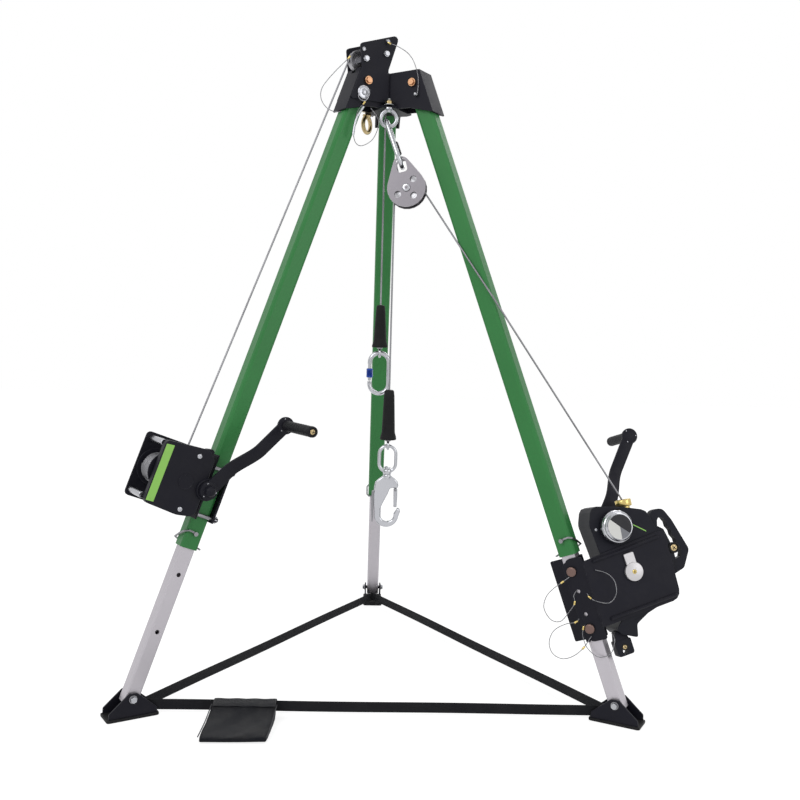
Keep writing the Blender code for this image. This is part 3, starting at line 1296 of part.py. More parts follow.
def tripod():
    head = frame("tripod_root", MODEL_SHIFT)
    for side in LEGS:
        leg(head, side)
    head_assembly(head)
    pulley_bracket(head)
    foot_strap(head)
    pouch(head)
    winch(head)
    arrester(head)
    block_tackle(head)
    hoist_end(head)
    snap_hook(head)
    bpy.context.view_layer.update()
    winch_wire(head)
    arrest_wire(head)


tripod()
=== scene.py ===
# %% [markdown]
# # Dressing a lifting tripod
# The solids of the tripod are loaded as a fixed frame: tubes, plates, wheels and hooks are
# already the right size and in the right place. This script gives each one a finish, and adds
# what a solid model leaves out: wire rope, webbing, lanyards, nuts and rubber.

# %% Load the frame
from math import acos, atan2, cos, degrees, hypot, pi, radians, sin, sqrt

import bmesh
import bpy
from mathutils import Euler, Matrix, Vector


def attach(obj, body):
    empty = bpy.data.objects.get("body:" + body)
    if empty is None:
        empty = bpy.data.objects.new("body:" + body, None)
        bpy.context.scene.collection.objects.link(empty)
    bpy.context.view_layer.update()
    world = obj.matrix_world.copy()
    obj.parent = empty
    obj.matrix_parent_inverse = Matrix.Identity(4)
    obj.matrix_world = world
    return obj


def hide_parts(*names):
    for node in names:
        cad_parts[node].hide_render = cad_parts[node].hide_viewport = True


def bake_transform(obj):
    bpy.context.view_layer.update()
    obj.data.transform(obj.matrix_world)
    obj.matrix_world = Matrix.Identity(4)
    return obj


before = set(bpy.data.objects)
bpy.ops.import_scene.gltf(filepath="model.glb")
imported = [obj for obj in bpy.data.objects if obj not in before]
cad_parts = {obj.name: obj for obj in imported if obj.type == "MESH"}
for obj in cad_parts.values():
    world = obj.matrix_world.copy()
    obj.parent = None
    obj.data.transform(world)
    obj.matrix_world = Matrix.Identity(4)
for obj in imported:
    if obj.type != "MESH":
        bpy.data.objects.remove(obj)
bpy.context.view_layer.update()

# %% [markdown]
# ## Camera
# The photograph was taken from a little below the middle of the tripod with a normal lens. The
# camera's place and turn were worked out from the straight edges of the three legs, and are
# given as three turns: yaw about the vertical, pitch, and a slight roll.

# %% Camera
CAMERA_AT = Vector((-0.1041, -2.6930, 0.9184))
YAW, PITCH, ROLL = -0.0374, -0.0795, 0.0273
LENS_PIXELS = 1003.13
PHOTO_WIDTH = 800.0
SENSOR = 36.0

turn = Matrix.Rotation(ROLL, 3, "Y") @ Matrix.Rotation(-PITCH, 3, "X") @ Matrix.Rotation(-YAW, 3, "Z")
right, forward, up = (turn[i].copy() for i in range(3))
camera_data = bpy.data.cameras.new("photo_camera")
camera_data.lens = SENSOR * LENS_PIXELS / PHOTO_WIDTH
camera_data.sensor_width = SENSOR
camera_data.sensor_fit = "HORIZONTAL"
camera = bpy.data.objects.new("photo_camera", camera_data)
bpy.context.scene.collection.objects.link(camera)
camera.matrix_world = (Matrix.Translation(CAMERA_AT)
                       @ Matrix((right, up, -forward)).transposed().to_4x4())
bpy.context.scene.camera = camera
bpy.context.scene.view_settings.view_transform = "Standard"
print("lens", round(camera_data.lens, 2), "mm")

# %% [markdown]
# ## Places on the legs
# Most pieces sit on a leaning leg, so it helps to work in the leg's own axes: x across the
# tube, y outward and z up along it, from the pivot bolt in the head. One matrix for each leg
# takes such a point into the whole frame.

# %% Leg axes
AXIS = Vector((-0.0565, -0.1153, 0.0))
PIVOT_RADIUS, PIVOT_HEIGHT = 0.083, 1.499
FOOT_RADIUS, FOOT_PIN_HEIGHT = 0.650, 0.045
LEAN = atan2(FOOT_RADIUS - PIVOT_RADIUS, PIVOT_HEIGHT - FOOT_PIN_HEIGHT)
AZIMUTH = {"left": 210.0, "right": 330.0, "rear": 90.0}
FOOT_PIN_DROP = 1.5607
END = {-1: "a", 1: "b"}


def leg_axes(side):
    around = radians(AZIMUTH[side])
    at = AXIS + Vector((PIVOT_RADIUS * cos(around), PIVOT_RADIUS * sin(around), PIVOT_HEIGHT))
    return Matrix.Translation(at) @ Euler((LEAN, 0.0, around - pi / 2)).to_matrix().to_4x4()


LEG = {side: leg_axes(side) for side in AZIMUTH}
BLOCK_FACE = (LEG["right"] @ Matrix.Translation((0.0225, 0.032, 0.0))
              @ Matrix.Rotation(radians(40.0), 4, "Z"))
UPRIGHT = Matrix.Identity(4)
print("left foot pin at", [round(v, 3) for v in LEG["left"] @ Vector((0, 0, -FOOT_PIN_DROP))])

# %% [markdown]
# ## Making shapes
# Five small makers cover nearly every piece: a flat plate cut to an outline, a turned piece, a
# round bar along a path, a skin over rings of points, and a hexagon nut. Each piece gets its
# material and is set to ride on the part of the tripod that carries it.

# %% Makers
def settle(name, mesh, material, body, place=UPRIGHT, smooth_under=35.0):
    """Make the object, shade it, give it its finish and let it ride on its body."""
    for face in mesh.polygons:
        face.use_smooth = True
    mesh.set_sharp_from_angle(angle=radians(smooth_under))
    made = bpy.data.objects.new(name, mesh)
    bpy.context.scene.collection.objects.link(made)
    made.matrix_world = place
    mesh.materials.append(material)
    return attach(made, body) if body else made


def from_bmesh(name, shape, material, body, place=UPRIGHT, smooth_under=35.0):
    bmesh.ops.recalc_face_normals(shape, faces=shape.faces)
    mesh = bpy.data.meshes.new(name)
    shape.to_mesh(mesh)
    shape.free()
    return settle(name, mesh, material, body, place, smooth_under)


def soften(made, width, segments=2, angle=50.0):
    """Round the hard edges, as a cast, folded or moulded piece has them."""
    edge = made.modifiers.new("soft_edges", "BEVEL")
    edge.width = width
    edge.segments = segments
    edge.limit_method = "ANGLE"
    edge.angle_limit = radians(angle)
    edge.harden_normals = False
    return made


def cut_plate(name, outline, low, high, material, body, place=UPRIGHT, edge=0.0006):
    """A plate with the outline in local y and z, from x = low to x = high."""
    shape = bmesh.new()
    face = shape.faces.new([shape.verts.new((low, y, z)) for y, z in outline])
    grown = bmesh.ops.extrude_face_region(shape, geom=[face])
    moved = [v for v in grown["geom"] if isinstance(v, bmesh.types.BMVert)]
    bmesh.ops.translate(shape, verts=moved, vec=(high - low, 0, 0))
    return soften(from_bmesh(name, shape, material, body, place), edge)


def turned_piece(name, profile, material, body, place=UPRIGHT, steps=32):
    """A piece of revolution about local z, from (radius, height) pairs."""
    shape = bmesh.new()
    line = [shape.verts.new((radius, 0.0, height)) for radius, height in profile]
    edges = [shape.edges.new(pair) for pair in zip(line, line[1:])]
    bmesh.ops.spin(shape, geom=line + edges, cent=(0, 0, 0), axis=(0, 0, 1), angle=2 * pi,
                   steps=steps, use_merge=True)
    bmesh.ops.remove_doubles(shape, verts=shape.verts, dist=1e-6)
    return from_bmesh(name, shape, material, body, place, 40.0)


def bar(name, points, radius, material, body, place=UPRIGHT, closed=False, sides=3, bend=True):
    """A round bar, wire or thread along the points."""
    curve = bpy.data.curves.new(name, "CURVE")
    curve.dimensions = "3D"
    curve.bevel_depth = radius
    curve.bevel_resolution = sides
    curve.use_fill_caps = not closed
    curve.resolution_u = 6 if bend else 1
    spline = curve.splines.new("NURBS" if bend else "POLY")
    spline.points.add(len(points) - 1)
    for point, at in zip(spline.points, points):
        point.co = (*at, 1.0)
    spline.use_cyclic_u = closed
    if bend:
        spline.order_u = 3
        spline.use_endpoint_u = not closed
    made = bpy.data.objects.new(name, curve)
    bpy.context.scene.collection.objects.link(made)
    made.matrix_world = place
    curve.materials.append(material)
    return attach(made, body) if body else made


def loft(rings, closed=True):
    """Skin the rings of points in order, round again to the first where closed."""
    shape = bmesh.new()
    loops = [[shape.verts.new(p) for p in ring] for ring in rings]
    pairs = list(zip(loops, loops[1:] + loops[:1])) if closed else list(zip(loops, loops[1:]))
    for first, second in pairs:
        for n in range(len(first)):
            m = (n + 1) % len(first)
            shape.faces.new((first[n], first[m], second[m], second[n]))
    if not closed:
        shape.faces.new(loops[0])
        shape.faces.new(list(reversed(loops[-1])))
    return shape


def hex_piece(name, across, tall, material, body, place):
    """A hexagon nut or bolt head standing on local z, with its corners turned off."""
    shape = bmesh.new()
    radius = across / sqrt(3.0)
    ring = [(radius * cos(k * pi / 3), radius * sin(k * pi / 3)) for k in range(6)]
    face = shape.faces.new([shape.verts.new((x, y, 0.0)) for x, y in ring])
    grown = bmesh.ops.extrude_face_region(shape, geom=[face])
    moved = [v for v in grown["geom"] if isinstance(v, bmesh.types.BMVert)]
    bmesh.ops.translate(shape, verts=moved, vec=(0, 0, tall))
    return soften(from_bmesh(name, shape, material, body, place), across * 0.06, 2)


def at(matrix, x, y, z, turned=UPRIGHT):
    """A local place on a matrix, with an extra turn."""
    return matrix @ Matrix.Translation((x, y, z)) @ turned


print("makers ready")

# %% [markdown]
# ## Shared surface effects
# Real paint, metal and plastic are never one even colour. Three effects turn up again and
# again: a fine grain, wear along edges and a little settled dust. Each is a node group, built
# once, with its own inputs, so that every material can use it at its own scale.

# %% Node helpers
def srgb(red, green, blue):
    """A colour as read off a screen, 0 to 255, turned into the linear values nodes use."""
    def linear(v):
        v = v / 255.0
        return v / 12.92 if v <= 0.04045 else ((v + 0.055) / 1.055) ** 2.4
    return (linear(red), linear(green), linear(blue), 1.0)


def new_group(name, inputs, outputs):
    group = bpy.data.node_groups.new(name, "ShaderNodeTree")
    for label, kind, value in inputs:
        socket = group.interface.new_socket(label, in_out="INPUT", socket_type=kind)
        socket.default_value = value
    for label, kind in outputs:
        group.interface.new_socket(label, in_out="OUTPUT", socket_type=kind)
    return group, group.nodes.new("NodeGroupInput"), group.nodes.new("NodeGroupOutput")


def put(tree, kind, values=None, **settings):
    """Add a node, with its settings and the values of its unlinked inputs."""
    made = tree.nodes.new(kind)
    for key, value in settings.items():
        setattr(made, key, value)
    for key, value in (values or {}).items():
        made.inputs[key].default_value = value
    return made


def spread(tree, value, low, high, to_low=0.0, to_high=1.0):
    """Map Range on a value."""
    made = put(tree, "ShaderNodeMapRange", {"From Min": low, "From Max": high,
                                            "To Min": to_low, "To Max": to_high})
    tree.links.new(value, made.inputs["Value"])
    return made.outputs["Result"]


def times(tree, a, b):
    made = put(tree, "ShaderNodeMath", operation="MULTIPLY")
    tree.links.new(a, made.inputs[0])
    if isinstance(b, (int, float)):
        made.inputs[1].default_value = b
    else:
        tree.links.new(b, made.inputs[1])
    return made.outputs[0]


def blend_colour(tree, factor, first, second, mode="MIX"):
    """Mix two colours, each a socket or a plain colour, by a factor socket or number."""
    made = put(tree, "ShaderNodeMix", data_type="RGBA", blend_type=mode)
    for socket, value in ((made.inputs[0], factor), (made.inputs[6], first), (made.inputs[7], second)):
        if isinstance(value, bpy.types.NodeSocket):
            tree.links.new(value, socket)
        else:
            socket.default_value = value
    return made.outputs[2]


# %% Grain, wear and dust groups
grain, start, end = new_group("fine_grain", [
    ("Scale", "NodeSocketFloat", 200.0), ("Stretch", "NodeSocketVector", (1.0, 1.0, 1.0)),
], [("Height", "NodeSocketFloat"), ("Tone", "NodeSocketFloat")])
where = put(grain, "ShaderNodeTexCoord")
stretched = put(grain, "ShaderNodeVectorMath", operation="MULTIPLY")
grain.links.new(where.outputs["Object"], stretched.inputs[0])
grain.links.new(start.outputs["Stretch"], stretched.inputs[1])
fine = put(grain, "ShaderNodeTexNoise", {"Detail": 3.0, "Roughness": 0.6})
grain.links.new(stretched.outputs[0], fine.inputs["Vector"])
grain.links.new(start.outputs["Scale"], fine.inputs["Scale"])
grain.links.new(fine.outputs["Fac"], end.inputs["Height"])
broad = put(grain, "ShaderNodeTexNoise", {"Scale": 7.0, "Detail": 4.0, "Roughness": 0.55})
grain.links.new(stretched.outputs[0], broad.inputs["Vector"])
grain.links.new(spread(grain, broad.outputs["Fac"], 0.3, 0.7), end.inputs["Tone"])

wear, start, end = new_group("edge_wear", [
    ("Width", "NodeSocketFloat", 0.0012), ("Scale", "NodeSocketFloat", 90.0),
], [("Mask", "NodeSocketFloat")])
rounded = put(wear, "ShaderNodeBevel", samples=4)
wear.links.new(start.outputs["Width"], rounded.inputs["Radius"])
plain = put(wear, "ShaderNodeNewGeometry")
facing = put(wear, "ShaderNodeVectorMath", operation="DOT_PRODUCT")
wear.links.new(rounded.outputs["Normal"], facing.inputs[0])
wear.links.new(plain.outputs["Normal"], facing.inputs[1])
chips = put(wear, "ShaderNodeTexNoise", {"Detail": 5.0, "Roughness": 0.7})
place = put(wear, "ShaderNodeTexCoord")
wear.links.new(place.outputs["Object"], chips.inputs["Vector"])
wear.links.new(start.outputs["Scale"], chips.inputs["Scale"])
edge = spread(wear, facing.outputs["Value"], 0.985, 0.85)
rub = spread(wear, chips.outputs["Fac"], 0.46, 0.62)
wear.links.new(times(wear, edge, rub), end.inputs["Mask"])

dust, start, end = new_group("settled_dust", [("Amount", "NodeSocketFloat", 0.15)],
                             [("Mask", "NodeSocketFloat")])
place = put(dust, "ShaderNodeNewGeometry")
split = put(dust, "ShaderNodeSeparateXYZ")
dust.links.new(place.outputs["Normal"], split.inputs[0])
cloud = put(dust, "ShaderNodeTexNoise", {"Scale": 24.0, "Detail": 6.0, "Roughness": 0.65})
spot = put(dust, "ShaderNodeTexCoord")
dust.links.new(spot.outputs["Object"], cloud.inputs["Vector"])
lying = spread(dust, split.outputs["Z"], 0.2, 1.0, 0.25, 1.0)
patchy = spread(dust, cloud.outputs["Fac"], 0.42, 0.66)
dust.links.new(times(dust, times(dust, lying, patchy), start.outputs["Amount"]), end.inputs["Mask"])

weave, start, end = new_group("weave", [
    ("Along", "NodeSocketFloat", 900.0), ("Across", "NodeSocketFloat", 900.0),
], [("Height", "NodeSocketFloat"), ("Gap", "NodeSocketFloat")])
place = put(weave, "ShaderNodeTexCoord")
part = put(weave, "ShaderNodeSeparateXYZ")
weave.links.new(place.outputs["Object"], part.inputs[0])


def ridges(tree, first, first_scale, second, second_scale):
    """Sine ridges of two coordinates added together, from 0 to 1."""
    total = put(tree, "ShaderNodeMath", operation="ADD")
    tree.links.new(times(tree, first, first_scale), total.inputs[0])
    tree.links.new(times(tree, second, second_scale), total.inputs[1])
    wavy = put(tree, "ShaderNodeMath", operation="SINE")
    tree.links.new(total.outputs[0], wavy.inputs[0])
    return spread(tree, wavy.outputs[0], -1.0, 1.0)


flat = put(weave, "ShaderNodeMath", operation="ADD")
weave.links.new(part.outputs["Y"], flat.inputs[0])
weave.links.new(part.outputs["Z"], flat.inputs[1])
warp = ridges(weave, part.outputs["X"], start.outputs["Along"], flat.outputs[0], start.outputs["Across"])
back = put(weave, "ShaderNodeMath", {1: -1.0}, operation="MULTIPLY")
weave.links.new(start.outputs["Across"], back.inputs[0])
weft = ridges(weave, part.outputs["X"], start.outputs["Along"], flat.outputs[0], back.outputs[0])
high = put(weave, "ShaderNodeMath", operation="MAXIMUM")
weave.links.new(warp, high.inputs[0])
weave.links.new(weft, high.inputs[1])
weave.links.new(high.outputs[0], end.inputs["Height"])
weave.links.new(spread(weave, high.outputs[0], 0.35, 0.75), end.inputs["Gap"])
print("groups:", [group.name for group in bpy.data.node_groups])

# %% [markdown]
# ## Finishes
# One maker builds a material from those effects: a base colour that drifts a little, bare
# metal where an edge rubs, a trace of dust, and a bump from the grain. Numbers that are the
# same all over a surface, such as a coat's roughness, are set straight on the shader.

# %% Finish maker
def finish(name, colour, rough, metal=0.0, drift=0.10, grain_scale=260.0, stretch=(1, 1, 1),
           bump=0.15, depth=0.0003, worn=None, worn_width=0.0012, worn_share=0.6, dusty=0.10,
           woven=None, rough_drift=0.10, **fixed):
    material = bpy.data.materials.new(name)
    material.use_nodes = True
    tree = material.node_tree
    shader = tree.nodes["Principled BSDF"]
    surface = put(tree, "ShaderNodeGroup", node_tree=grain)
    surface.inputs["Scale"].default_value = grain_scale
    surface.inputs["Stretch"].default_value = stretch
    darker = tuple(c * (1.0 - drift) for c in colour[:3]) + (1.0,)
    lighter = tuple(min(1.0, c * (1.0 + drift)) for c in colour[:3]) + (1.0,)
    body = blend_colour(tree, surface.outputs["Tone"], darker, lighter)
    height = surface.outputs["Height"]
    if woven:
        cloth = put(tree, "ShaderNodeGroup", node_tree=weave)
        cloth.inputs["Along"].default_value, cloth.inputs["Across"].default_value = woven
        deep = tuple(c * 0.35 for c in colour[:3]) + (1.0,)
        body = blend_colour(tree, cloth.outputs["Gap"], deep, body)
        height = cloth.outputs["Height"]
    if worn:
        rubbed = put(tree, "ShaderNodeGroup", node_tree=wear)
        rubbed.inputs["Width"].default_value = worn_width
        body = blend_colour(tree, times(tree, rubbed.outputs["Mask"], worn_share), body, worn)
    if dusty:
        film = put(tree, "ShaderNodeGroup", node_tree=dust)
        film.inputs["Amount"].default_value = dusty
        body = blend_colour(tree, film.outputs["Mask"], body, srgb(176, 172, 166))
    tree.links.new(body, shader.inputs["Base Color"])
    tree.links.new(spread(tree, surface.outputs["Tone"], 0.0, 1.0, rough * (1 - rough_drift),
                          min(1.0, rough * (1 + rough_drift))), shader.inputs["Roughness"])
    relief = put(tree, "ShaderNodeBump", {"Strength": bump, "Distance": depth})
    tree.links.new(height, relief.inputs["Height"])
    tree.links.new(relief.outputs["Normal"], shader.inputs["Normal"])
    shader.inputs["Metallic"].default_value = metal
    for label, value in fixed.items():
        shader.inputs[label.replace("_", " ")].default_value = value
    return material


# %% The tripod's finishes
green = finish("green_leg_paint", srgb(58, 131, 71), 0.36, drift=0.05, grain_scale=900.0, bump=0.06,
               worn=srgb(128, 160, 132), worn_share=0.25, dusty=0.02, Specular_IOR_Level=0.25)
alloy = finish("drawn_aluminium", srgb(190, 186, 192), 0.42, metal=0.75, drift=0.06, grain_scale=420.0,
               stretch=(1.0, 1.0, 0.06), bump=0.10, worn=srgb(236, 236, 238), dusty=0.05)
powder = finish("black_powder_coat", srgb(24, 24, 33), 0.50, drift=0.14, grain_scale=1500.0, bump=0.22,
                worn=srgb(112, 112, 118), worn_share=0.30, dusty=0.03, Specular_IOR_Level=0.16)
plastic = finish("ribbed_black_nylon", srgb(23, 24, 33), 0.52, drift=0.10, grain_scale=1100.0, bump=0.30,
                 worn=srgb(78, 79, 88), worn_share=0.25, dusty=0.03, Specular_IOR_Level=0.16)
grip_plastic = finish("grip_black_plastic", srgb(24, 24, 29), 0.58, drift=0.10, grain_scale=800.0,
                      bump=0.35, worn=srgb(70, 70, 74), worn_share=0.2, dusty=0.03, Specular_IOR_Level=0.16)
steel = finish("bright_plated_steel", srgb(172, 173, 178), 0.26, metal=1.0, drift=0.10, grain_scale=700.0,
               bump=0.05, worn=srgb(238, 238, 240), dusty=0.04)
forged = finish("polished_forged_steel", srgb(182, 183, 188), 0.18, metal=1.0, drift=0.08,
                grain_scale=240.0, bump=0.05, dusty=0.0)
cheek_steel = finish("rolled_cheek_steel", srgb(122, 119, 124), 0.42, metal=1.0, drift=0.14,
                     grain_scale=160.0, stretch=(1.0, 1.0, 0.3), bump=0.06, worn=srgb(214, 212, 216),
                     dusty=0.04)
dull_steel = finish("dull_plated_steel", srgb(138, 138, 142), 0.38, metal=1.0, drift=0.16,
                    grain_scale=600.0, bump=0.10, worn=srgb(220, 220, 222), dusty=0.06)
yellow_zinc = finish("yellow_zinc", srgb(186, 166, 124), 0.30, metal=1.0, drift=0.22, grain_scale=500.0,
                     bump=0.06, worn=srgb(222, 216, 200), dusty=0.03)
copper_zinc = finish("copper_toned_zinc", srgb(186, 142, 108), 0.32, metal=1.0, drift=0.25,
                     grain_scale=420.0, bump=0.08, worn=srgb(214, 190, 160), dusty=0.04)
brown_zinc = finish("brown_zinc", srgb(120, 98, 92), 0.40, metal=0.9, drift=0.22, grain_scale=420.0,
                    bump=0.08, worn=srgb(190, 170, 158), dusty=0.05)
brass = finish("turned_brass", srgb(204, 182, 116), 0.22, metal=1.0, drift=0.10, grain_scale=900.0,
               stretch=(0.15, 1.0, 1.0), bump=0.08, worn=srgb(240, 220, 160), dusty=0.03)
cast_alloy = finish("turned_sheave_alloy", srgb(170, 170, 174), 0.36, metal=0.9, drift=0.12,
                    grain_scale=700.0, bump=0.12, worn=srgb(225, 225, 226), dusty=0.08)
lever_alloy = finish("blasted_alloy", srgb(196, 194, 196), 0.44, metal=0.8, drift=0.08,
                     grain_scale=1200.0, bump=0.25, worn=srgb(230, 230, 232), dusty=0.04)
rope_steel = finish("galvanised_wire", srgb(140, 140, 144), 0.42, metal=0.9, drift=0.22,
                    grain_scale=1600.0, bump=0.30, dusty=0.10)
# Black rubber; the same finish also paints the shade in the cross recesses of the screw heads.
rubber_and_painted_shade = finish("black_rubber", srgb(22, 22, 24), 0.66, drift=0.14, grain_scale=500.0, bump=0.20,
                worn=srgb(74, 74, 76), worn_share=0.3, dusty=0.05, Specular_IOR_Level=0.2)
webbing = finish("black_webbing", srgb(30, 31, 36), 0.9, drift=0.16, bump=0.9, depth=0.0007,
                 woven=(2100.0, 2600.0), dusty=0.05, Specular_IOR_Level=0.15, Sheen_Weight=0.12,
                 Sheen_Roughness=0.5)
nylon = finish("pouch_nylon", srgb(22, 24, 31), 0.8, drift=0.18, bump=0.8, depth=0.0005,
               woven=(3000.0, 3000.0), dusty=0.04, Specular_IOR_Level=0.15, Sheen_Weight=0.12,
               Sheen_Roughness=0.45)
thread = finish("black_thread", srgb(58, 58, 62), 0.8, drift=0.2, grain_scale=2500.0, bump=0.4, dusty=0.0)
blue = finish("blue_anodised", srgb(44, 74, 158), 0.30, metal=0.8, drift=0.10, grain_scale=900.0,
              bump=0.10, worn=srgb(150, 160, 190), dusty=0.03)
# Black anodised sleeves; the same finish also paints the black part of the reflection on the knob's face.
black_sleeve_and_painted_reflection = finish("black_anodised_and_painted_reflection", srgb(34, 34, 38), 0.34, metal=0.6, drift=0.12,
                      grain_scale=900.0, bump=0.12, worn=srgb(130, 130, 134), dusty=0.04)
lime = finish("lime_film", srgb(152, 214, 98), 0.40, drift=0.05, grain_scale=300.0, bump=0.03, dusty=0.04)
# Pale and grey finishes that paint reflections on the chrome knob's face.
pale_reflection_paint = finish("painted_pale_reflection", srgb(226, 226, 222), 0.35, drift=0.04, grain_scale=300.0, bump=0.02,
                   dusty=0.03)
grey_reflection_paint = finish("painted_grey_reflection", srgb(120, 122, 128), 0.35, drift=0.05, grain_scale=300.0, bump=0.02,
                   dusty=0.03)
print("finishes:", len(bpy.data.materials))

# %% [markdown]
# ## Floor and light
# The tripod stands on a plain pale floor in a bright studio. The camera, and anything shiny,
# sees the floor and the world as white, so no extra light is needed to make them so, and the
# floor still takes the soft shadows under the feet.

# %% Floor
def seen_directly(tree):
    """1 for rays from the camera, off gloss or through glass, 0 for light that bounces."""
    path = put(tree, "ShaderNodeLightPath")
    total = path.outputs["Is Camera Ray"]
    for label in ("Is Glossy Ray", "Is Transmission Ray"):
        more = put(tree, "ShaderNodeMath", operation="MAXIMUM")
        tree.links.new(total, more.inputs[0])
        tree.links.new(path.outputs[label], more.inputs[1])
        total = more.outputs[0]
    return total


floor_mesh = bpy.data.meshes.new("studio_floor")
HALF = 9.0
floor_mesh.from_pydata([(-HALF, -HALF, 0), (HALF, -HALF, 0), (HALF, HALF, 0), (-HALF, HALF, 0)],
                       [], [(0, 1, 2, 3)])
floor = bpy.data.objects.new("studio_floor", floor_mesh)
bpy.context.scene.collection.objects.link(floor)
floor.location.z = -0.0005
floor_paint = bpy.data.materials.new("pale_floor")
floor_paint.use_nodes = True
tree = floor_paint.node_tree
tree.nodes.clear()
lit = put(tree, "ShaderNodeBsdfDiffuse", {"Color": (0.42, 0.42, 0.42, 1.0)})
plain_lit = put(tree, "ShaderNodeBsdfDiffuse", {"Color": (0.75, 0.75, 0.75, 1.0)})
glow = put(tree, "ShaderNodeEmission", {"Color": (1, 1, 1, 1), "Strength": 0.80})
both = put(tree, "ShaderNodeAddShader")
tree.links.new(lit.outputs[0], both.inputs[0])
tree.links.new(glow.outputs[0], both.inputs[1])
pick = put(tree, "ShaderNodeMixShader")
tree.links.new(seen_directly(tree), pick.inputs[0])
tree.links.new(plain_lit.outputs[0], pick.inputs[1])
tree.links.new(both.outputs[0], pick.inputs[2])
shown = put(tree, "ShaderNodeOutputMaterial")
tree.links.new(pick.outputs[0], shown.inputs["Surface"])
floor_mesh.materials.append(floor_paint)

# %% World and lamps
world = bpy.data.worlds.new("studio")
bpy.context.scene.world = world
world.use_nodes = True
tree = world.node_tree
sky = tree.nodes["Background"]
sky.inputs["Color"].default_value = (1, 1, 1, 1)
tree.links.new(spread(tree, seen_directly(tree), 0.0, 1.0, 0.50, 1.0), sky.inputs["Strength"])


def soft_lamp(name, place, aim, size, power):
    lamp = bpy.data.lights.new(name, "AREA")
    lamp.size = size
    lamp.energy = power
    made = bpy.data.objects.new(name, lamp)
    bpy.context.scene.collection.objects.link(made)
    made.location = place
    made.rotation_euler = (Vector(aim) - Vector(place)).to_track_quat("-Z", "Y").to_euler()


soft_lamp("key", (-2.6, -3.2, 3.4), (0, 0, 0.8), 2.4, 62.0)
soft_lamp("fill", (3.0, -2.6, 1.8), (0, 0, 0.8), 2.0, 22.0)
soft_lamp("rim", (1.2, 3.0, 3.0), (0, 0, 0.9), 2.0, 32.0)
print("lamps:", len(bpy.data.lights))

# %% [markdown]
# ## Wire rope
# Both wires are rope: six strands laid round a core. A smooth tube looks like plastic, so the
# section here has six lobes and turns as it goes along the wire. The routes are those of the
# solids: off the drum, over two sheaves and down; and out of the fall arrest block, over the
# hanging pulley and down.

# %% Rope maker
WIRE = 0.0024


def evenly(points, step):
    """The same path with points at even steps along it."""
    points = [Vector(p) for p in points]
    out, carry = [points[0]], 0.0
    for a, b in zip(points, points[1:]):
        length = (b - a).length
        travelled = step - carry
        while travelled < length:
            out.append(a.lerp(b, travelled / length))
            travelled += step
        carry = length - (travelled - step)
    if (out[-1] - points[-1]).length < step * 0.4:
        out[-1] = points[-1]
    else:
        out.append(points[-1])
    return out


def rope(name, points, radius, material, body, step=0.004, lay=0.030, strands=6, section=18):
    """A laid rope: a lobed section that turns as it runs along the path."""
    path = evenly(points, step)
    rings, side, run = [], None, 0.0
    for k, here in enumerate(path):
        ahead = path[min(k + 1, len(path) - 1)] - path[max(k - 1, 0)]
        ahead.normalize()
        if side is None:
            side = ahead.orthogonal().normalized()
        else:
            side = (side - ahead * side.dot(ahead)).normalized()
            run += (here - path[k - 1]).length
        over = ahead.cross(side)
        ring = []
        for n in range(section):
            angle = 2 * pi * n / section
            lobe = radius * (0.84 + 0.16 * abs(cos(strands * angle / 2.0)))
            angle += 2 * pi * run / lay
            ring.append(here + side * (lobe * cos(angle)) + over * (lobe * sin(angle)))
        rings.append(ring)
    return from_bmesh(name, loft(rings, closed=False), material, body, UPRIGHT, 50.0), path


def length_of(path):
    return sum((b - a).length for a, b in zip(path, path[1:]))


def arc(centre, radius, first, last, steps):
    """Points on a circle from one angle to another, in degrees."""
    turns = [radians(first + (last - first) * k / steps) for k in range(steps + 1)]
    return [(centre[0] + radius * cos(t), centre[1] + radius * sin(t)) for t in turns]


# %% Hoisting wire
GAP = 0.0003
DRUM_OUT, DRUM_AT, DRUM_WOUND = 0.128, -1.052, 0.0365
OUTER_SHEAVE, INNER_SHEAVE = (0.090, 1.550), (0.033, 1.570)
SHEAVE_RUN = 0.0260 - 0.004 + WIRE + GAP
ARM_LEFT = Matrix.Translation(AXIS) @ Matrix.Rotation(radians(AZIMUTH["left"]) - pi / 2, 4, "Z")
HOIST_TOP, HOOK_TOP = 0.955, 0.745
INSIDE_HOIST_BOOT, INSIDE_HOOK_BOOT = 0.076, 0.090

off_drum = Vector((-0.008, DRUM_OUT - DRUM_WOUND - WIRE - GAP, DRUM_AT))
slope = degrees(atan2(INNER_SHEAVE[1] - OUTER_SHEAVE[1], OUTER_SHEAVE[0] - INNER_SHEAVE[0]))
over = arc(OUTER_SHEAVE, SHEAVE_RUN, 24.0, 90.0 - slope, 6)
over += arc(INNER_SHEAVE, SHEAVE_RUN, 90.0 - slope, 180.0, 10)
over = [ARM_LEFT @ Vector((0.0, out, high)) for out, high in over]
rising = [LEG["left"] @ off_drum, LEG["left"] @ (off_drum + Vector((0, 0, 0.012))), over[0]]
rising_wire, path = rope("hoisting_wire_rising", rising, WIRE, rope_steel, None)
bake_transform(rising_wire)
falling = over + [Vector((over[-1].x, over[-1].y, HOIST_TOP - INSIDE_HOIST_BOOT))]
falling_wire, path = rope("hoisting_wire_falling", falling, WIRE, rope_steel, None)
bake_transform(falling_wire)
hoist_path = path
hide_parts("winch_wire")
print("hoisting wire", round(length_of(rising) + length_of(falling), 3), "m")

